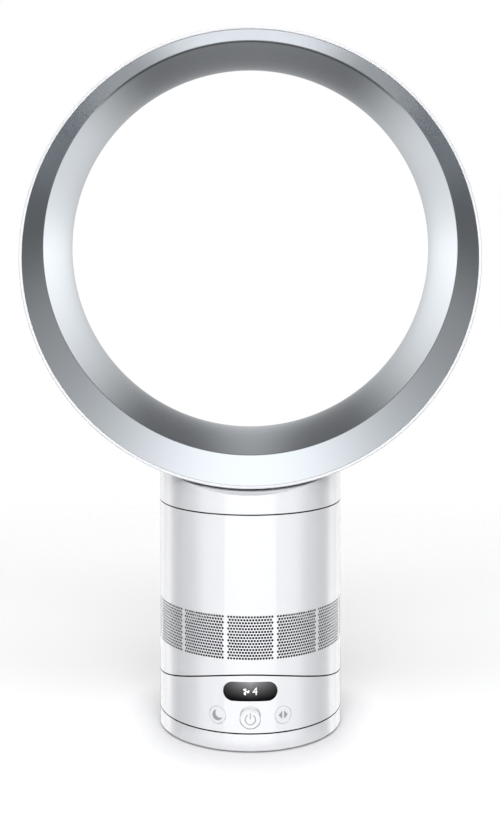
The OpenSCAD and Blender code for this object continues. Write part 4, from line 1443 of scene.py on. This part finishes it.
@dataclass
class SideCards:
    """Two curved white cards beside the column, which only gloss mirrors.

    Angles are in radians from the back of the column. Each change of the brightness says where it
    begins, where it ends and what it adds.
    """

    radius: float = 0.12
    foot: float = -0.08
    height: float = 0.276
    start: float = 0.9
    sweep: float = 0.97
    steps: int = 40
    level: float = 1.19
    changes: tuple[tuple[float, float, float], ...] = (
        (1.08, 1.2, 0.27), (1.39, 1.45, 0.47), (1.58, 1.68, -0.85), (1.66, 1.86, -0.85)
    )

    def card(self, name: str, side: int) -> None:
        """Makes one card.

        Args:
            name: Its name.
            side: 1 on the right, -1 on the left.
        """
        bm = bmesh.new()
        behind = Vector((0.0, self.radius, self.foot))
        foot = bm.verts.new(Matrix.Rotation(-self.start * side, 3, "Z") @ behind)
        top = bm.verts.new(foot.co + Vector((0.0, 0.0, self.height)))
        edge = bm.edges.new((foot, top))
        bmesh.ops.spin(
            bm, geom=[foot, top, edge], cent=(0.0, 0.0, 0.0), axis=(0.0, 0.0, -1.0),
            angle=self.sweep * side, steps=self.steps,
        )
        made = linked(bm, name)
        made.visible_camera = False
        made.visible_diffuse = False
        made.visible_shadow = False
        made.visible_transmission = False
        made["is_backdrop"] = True
        surface = Surface(name)
        x, y, _ = surface.parts("Object")
        turn = abs(x).turn(y)
        bright: Number = self.level
        for low, high, change in self.changes:
            bright = turn.rising(low, high) * change + bright
        surface.show(surface.node("ShaderNodeEmission", Color=WHITE_LIGHT, Strength=bright).outputs[0])
        made.data.materials.append(surface.material)

    def build(self) -> None:
        """Makes both cards."""
        self.card("card_right", 1)
        self.card("card_left", -1)


@dataclass(frozen=True)
class Lamp:
    """A soft box that faces the fan, and that no gloss mirrors.

    Its level is what a white card at the fan, square to it, would show.
    """

    name: str
    place: Point
    size: Pair
    level: float
    aim: Point = (0.0, 0.0, 0.25)

    def hang(self) -> None:
        """Makes the lamp."""
        data = bpy.data.lights.new(self.name, "AREA")
        data.shape = "RECTANGLE"
        data.size, data.size_y = self.size
        way = Vector(self.aim) - Vector(self.place)
        data.energy = self.level * math.pi ** 2 * way.length_squared
        made = bpy.data.objects.new(self.name, data)
        made.location = self.place
        made.rotation_mode = "QUATERNION"
        made.rotation_quaternion = way.to_track_quat("-Z", "Y")
        made.visible_glossy = False
        bpy.context.scene.collection.objects.link(made)


class SoftBox(Enum):
    """The studio's three lamps."""

    FRONT = Lamp("front_box", (0.0, -2.2, 1.4), (1.8, 1.2), 0.62)
    TOP = Lamp("top_box", (0.0, -0.95, 2.2), (1.4, 1.0), 0.4)
    BACK = Lamp("back_box", (0.0, 2.4, 1.1), (2.2, 1.6), 0.5)


@dataclass(frozen=True)
class Card:
    """A card with soft edges in the room that gloss mirrors.

    Each edge says where the card begins and where it is full, as parts of the unit direction: up,
    wide to either side, back, and aside from straight back or front.
    """

    level: float
    up: Pair | None = None
    wide: Pair | None = None
    back: Pair | None = None
    aside: Pair | None = None

    def brightness(self, up: Value, wide: Value, back: Value, aside: Value) -> Value:
        """What the card shows in a direction.

        Args:
            up: The direction's part upwards.
            wide: Its part to either side.
            back: Its part to the back.
            aside: Its part away from straight back or front.

        Returns:
            The card's level, soft at its edges, 0 beyond them.
        """
        shown: Number = self.level
        for part, edge in ((up, self.up), (wide, self.wide), (back, self.back), (aside, self.aside)):
            if edge:
                shown = part.rising(*edge) * shown
        return shown


class RoomCard(Enum):
    """The mirrored room's cards of a plain form."""

    STRAIGHT_BACK = Card(0.45, back=(0.5, 0.8), aside=(0.5, 0.25))
    RAISED_BACK = Card(0.28, up=(0.1, 0.35), wide=(0.16, 0.0), back=(0.3, 0.6))
    ABOVE = Card(1.3, up=(0.15, 0.6), wide=(0.92, 0.05), back=(-0.05, -0.4))
    SHOULDERS = Card(0.24, up=(-0.15, 0.45), wide=(0.4, 0.85), back=(0.1, -0.1))
    BELOW = Card(0.27, up=(-0.45, -0.75))


@dataclass
class Surroundings:
    """White for the camera, the mirrored room for gloss, and a low even light for the rest.

    Edges are parts of the unit direction, or slopes where they are named so. Those of the front
    cards' sides are angles in radians from straight ahead.
    """

    even_light: float = 0.13
    room_level: float = 0.14
    core: float = 0.001
    back_level: float = 0.2
    sides_level: float = 1.2
    sides_aside: Pair = (0.29, 0.53)
    sides_back: Pair = (0.25, 0.6)
    sides_slope: Pair = (-0.3, 1.7)
    dip_slope: Pair = (-0.1, 0.25)
    dip_end_slope: Pair = (0.3, 0.75)
    dip: float = 0.25
    front_top: Pair = (0.02, 0.1)
    front_foot: Pair = (-0.55, -0.45)
    front_outer: Pair = (0.95, 1.4)
    front_outer_level: float = 3.0
    front_inner: Pair = (0.545, 0.575)
    front_inner_level: float = 2.0
    first_hand: Pair = (1.2, 1.8)

    def mirrored_room(self, graph: Graph) -> Value:
        """What gloss and metal mirror: white cards behind, above and in front, and darker sides.

        Args:
            graph: The world's nodes.

        Returns:
            Its brightness.
        """
        x, y, z = graph.parts("Generated")
        wide, aside = abs(x), x.reach(z)
        lower = (0.0 - z) / (wide + self.core)
        dip = 1.0 - lower.rising(*self.dip_slope) * lower.falling(*self.dip_end_slope) * self.dip
        level = (abs(z) / (wide + self.core)).falling(*self.sides_slope) * dip
        level = level * (self.back_level + self.sides_level * aside.rising(*self.sides_aside))
        room = level * y.rising(*self.sides_back) + self.room_level
        for card in RoomCard:
            room = room + card.value.brightness(z, wide, y, aside)
        return room

    def front_cards(self, graph: Graph) -> Value:
        """The two cards in front, low down, that only the column's sharp coat mirrors, at first hand.

        Args:
            graph: The world's nodes.

        Returns:
            Their brightness.
        """
        x, y, z = graph.parts("Generated")
        turn = abs(x).turn(0.0 - y)
        seen = graph.ray("Glossy Depth").falling(*self.first_hand) * graph.ray("Is Singular Ray")
        outer = turn.falling(*self.front_outer) * self.front_outer_level
        inner = turn.falling(*self.front_inner) * self.front_inner_level
        return z.falling(*self.front_top) * z.rising(*self.front_foot) * seen * (outer + inner)

    def build(self) -> None:
        """Makes the world."""
        world = bpy.data.worlds.new("surroundings")
        bpy.context.scene.world = world
        world.use_nodes = True
        graph = Graph(world.node_tree)
        camera, glossy = graph.ray("Is Camera Ray"), graph.ray("Is Glossy Ray")
        mirrored = self.mirrored_room(graph) + self.front_cards(graph)
        strength = camera + glossy * mirrored + (1.0 - camera - glossy) * self.even_light
        back = graph.node("ShaderNodeBackground", Color=WHITE_LIGHT, Strength=strength)
        graph.node("ShaderNodeOutputWorld", Surface=back.outputs[0])


@dataclass
class Studio:
    """The camera, the floor, the lamps and the surroundings."""

    lens: float = 55.712
    film: float = 36.0
    clip: Pair = (0.01, 50.0)
    eye: Point = (0.0, -1.02857, 0.3766)
    shift: Pair = (-0.00039, -0.18693)

    def camera(self) -> None:
        """The photograph's level camera."""
        data = bpy.data.cameras.new("camera")
        data.sensor_width = self.film
        data.lens = self.lens
        data.shift_x, data.shift_y = self.shift
        data.clip_start, data.clip_end = self.clip
        made = bpy.data.objects.new("camera", data)
        made.location = self.eye
        made.rotation_euler = (math.pi / 2, 0.0, 0.0)
        bpy.context.scene.collection.objects.link(made)
        bpy.context.scene.camera = made

    def build(self) -> None:
        """Sets the studio."""
        self.camera()
        Floor().build()
        Surroundings().build()
        SideCards().build()
        for box in SoftBox:
            box.value.hang()
        bpy.context.scene.view_settings.view_transform = "Standard"


def corners() -> list[list[float]]:
    """The shown object's lowest and highest corner as plain lists."""
    return [list(corner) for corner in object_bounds()]


def main() -> None:
    """Builds the fan's looks in order."""
    logging.basicConfig(level=logging.INFO, format="%(message)s")
    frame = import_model()
    paints = Paintbox()
    bench = Bench(paints)
    Solids(frame, paints).build()
    Ring(bench).build()
    Inlet(bench).build()
    Controls(bench).build()
    Studio().build()


if __name__ == "__main__":
    main()
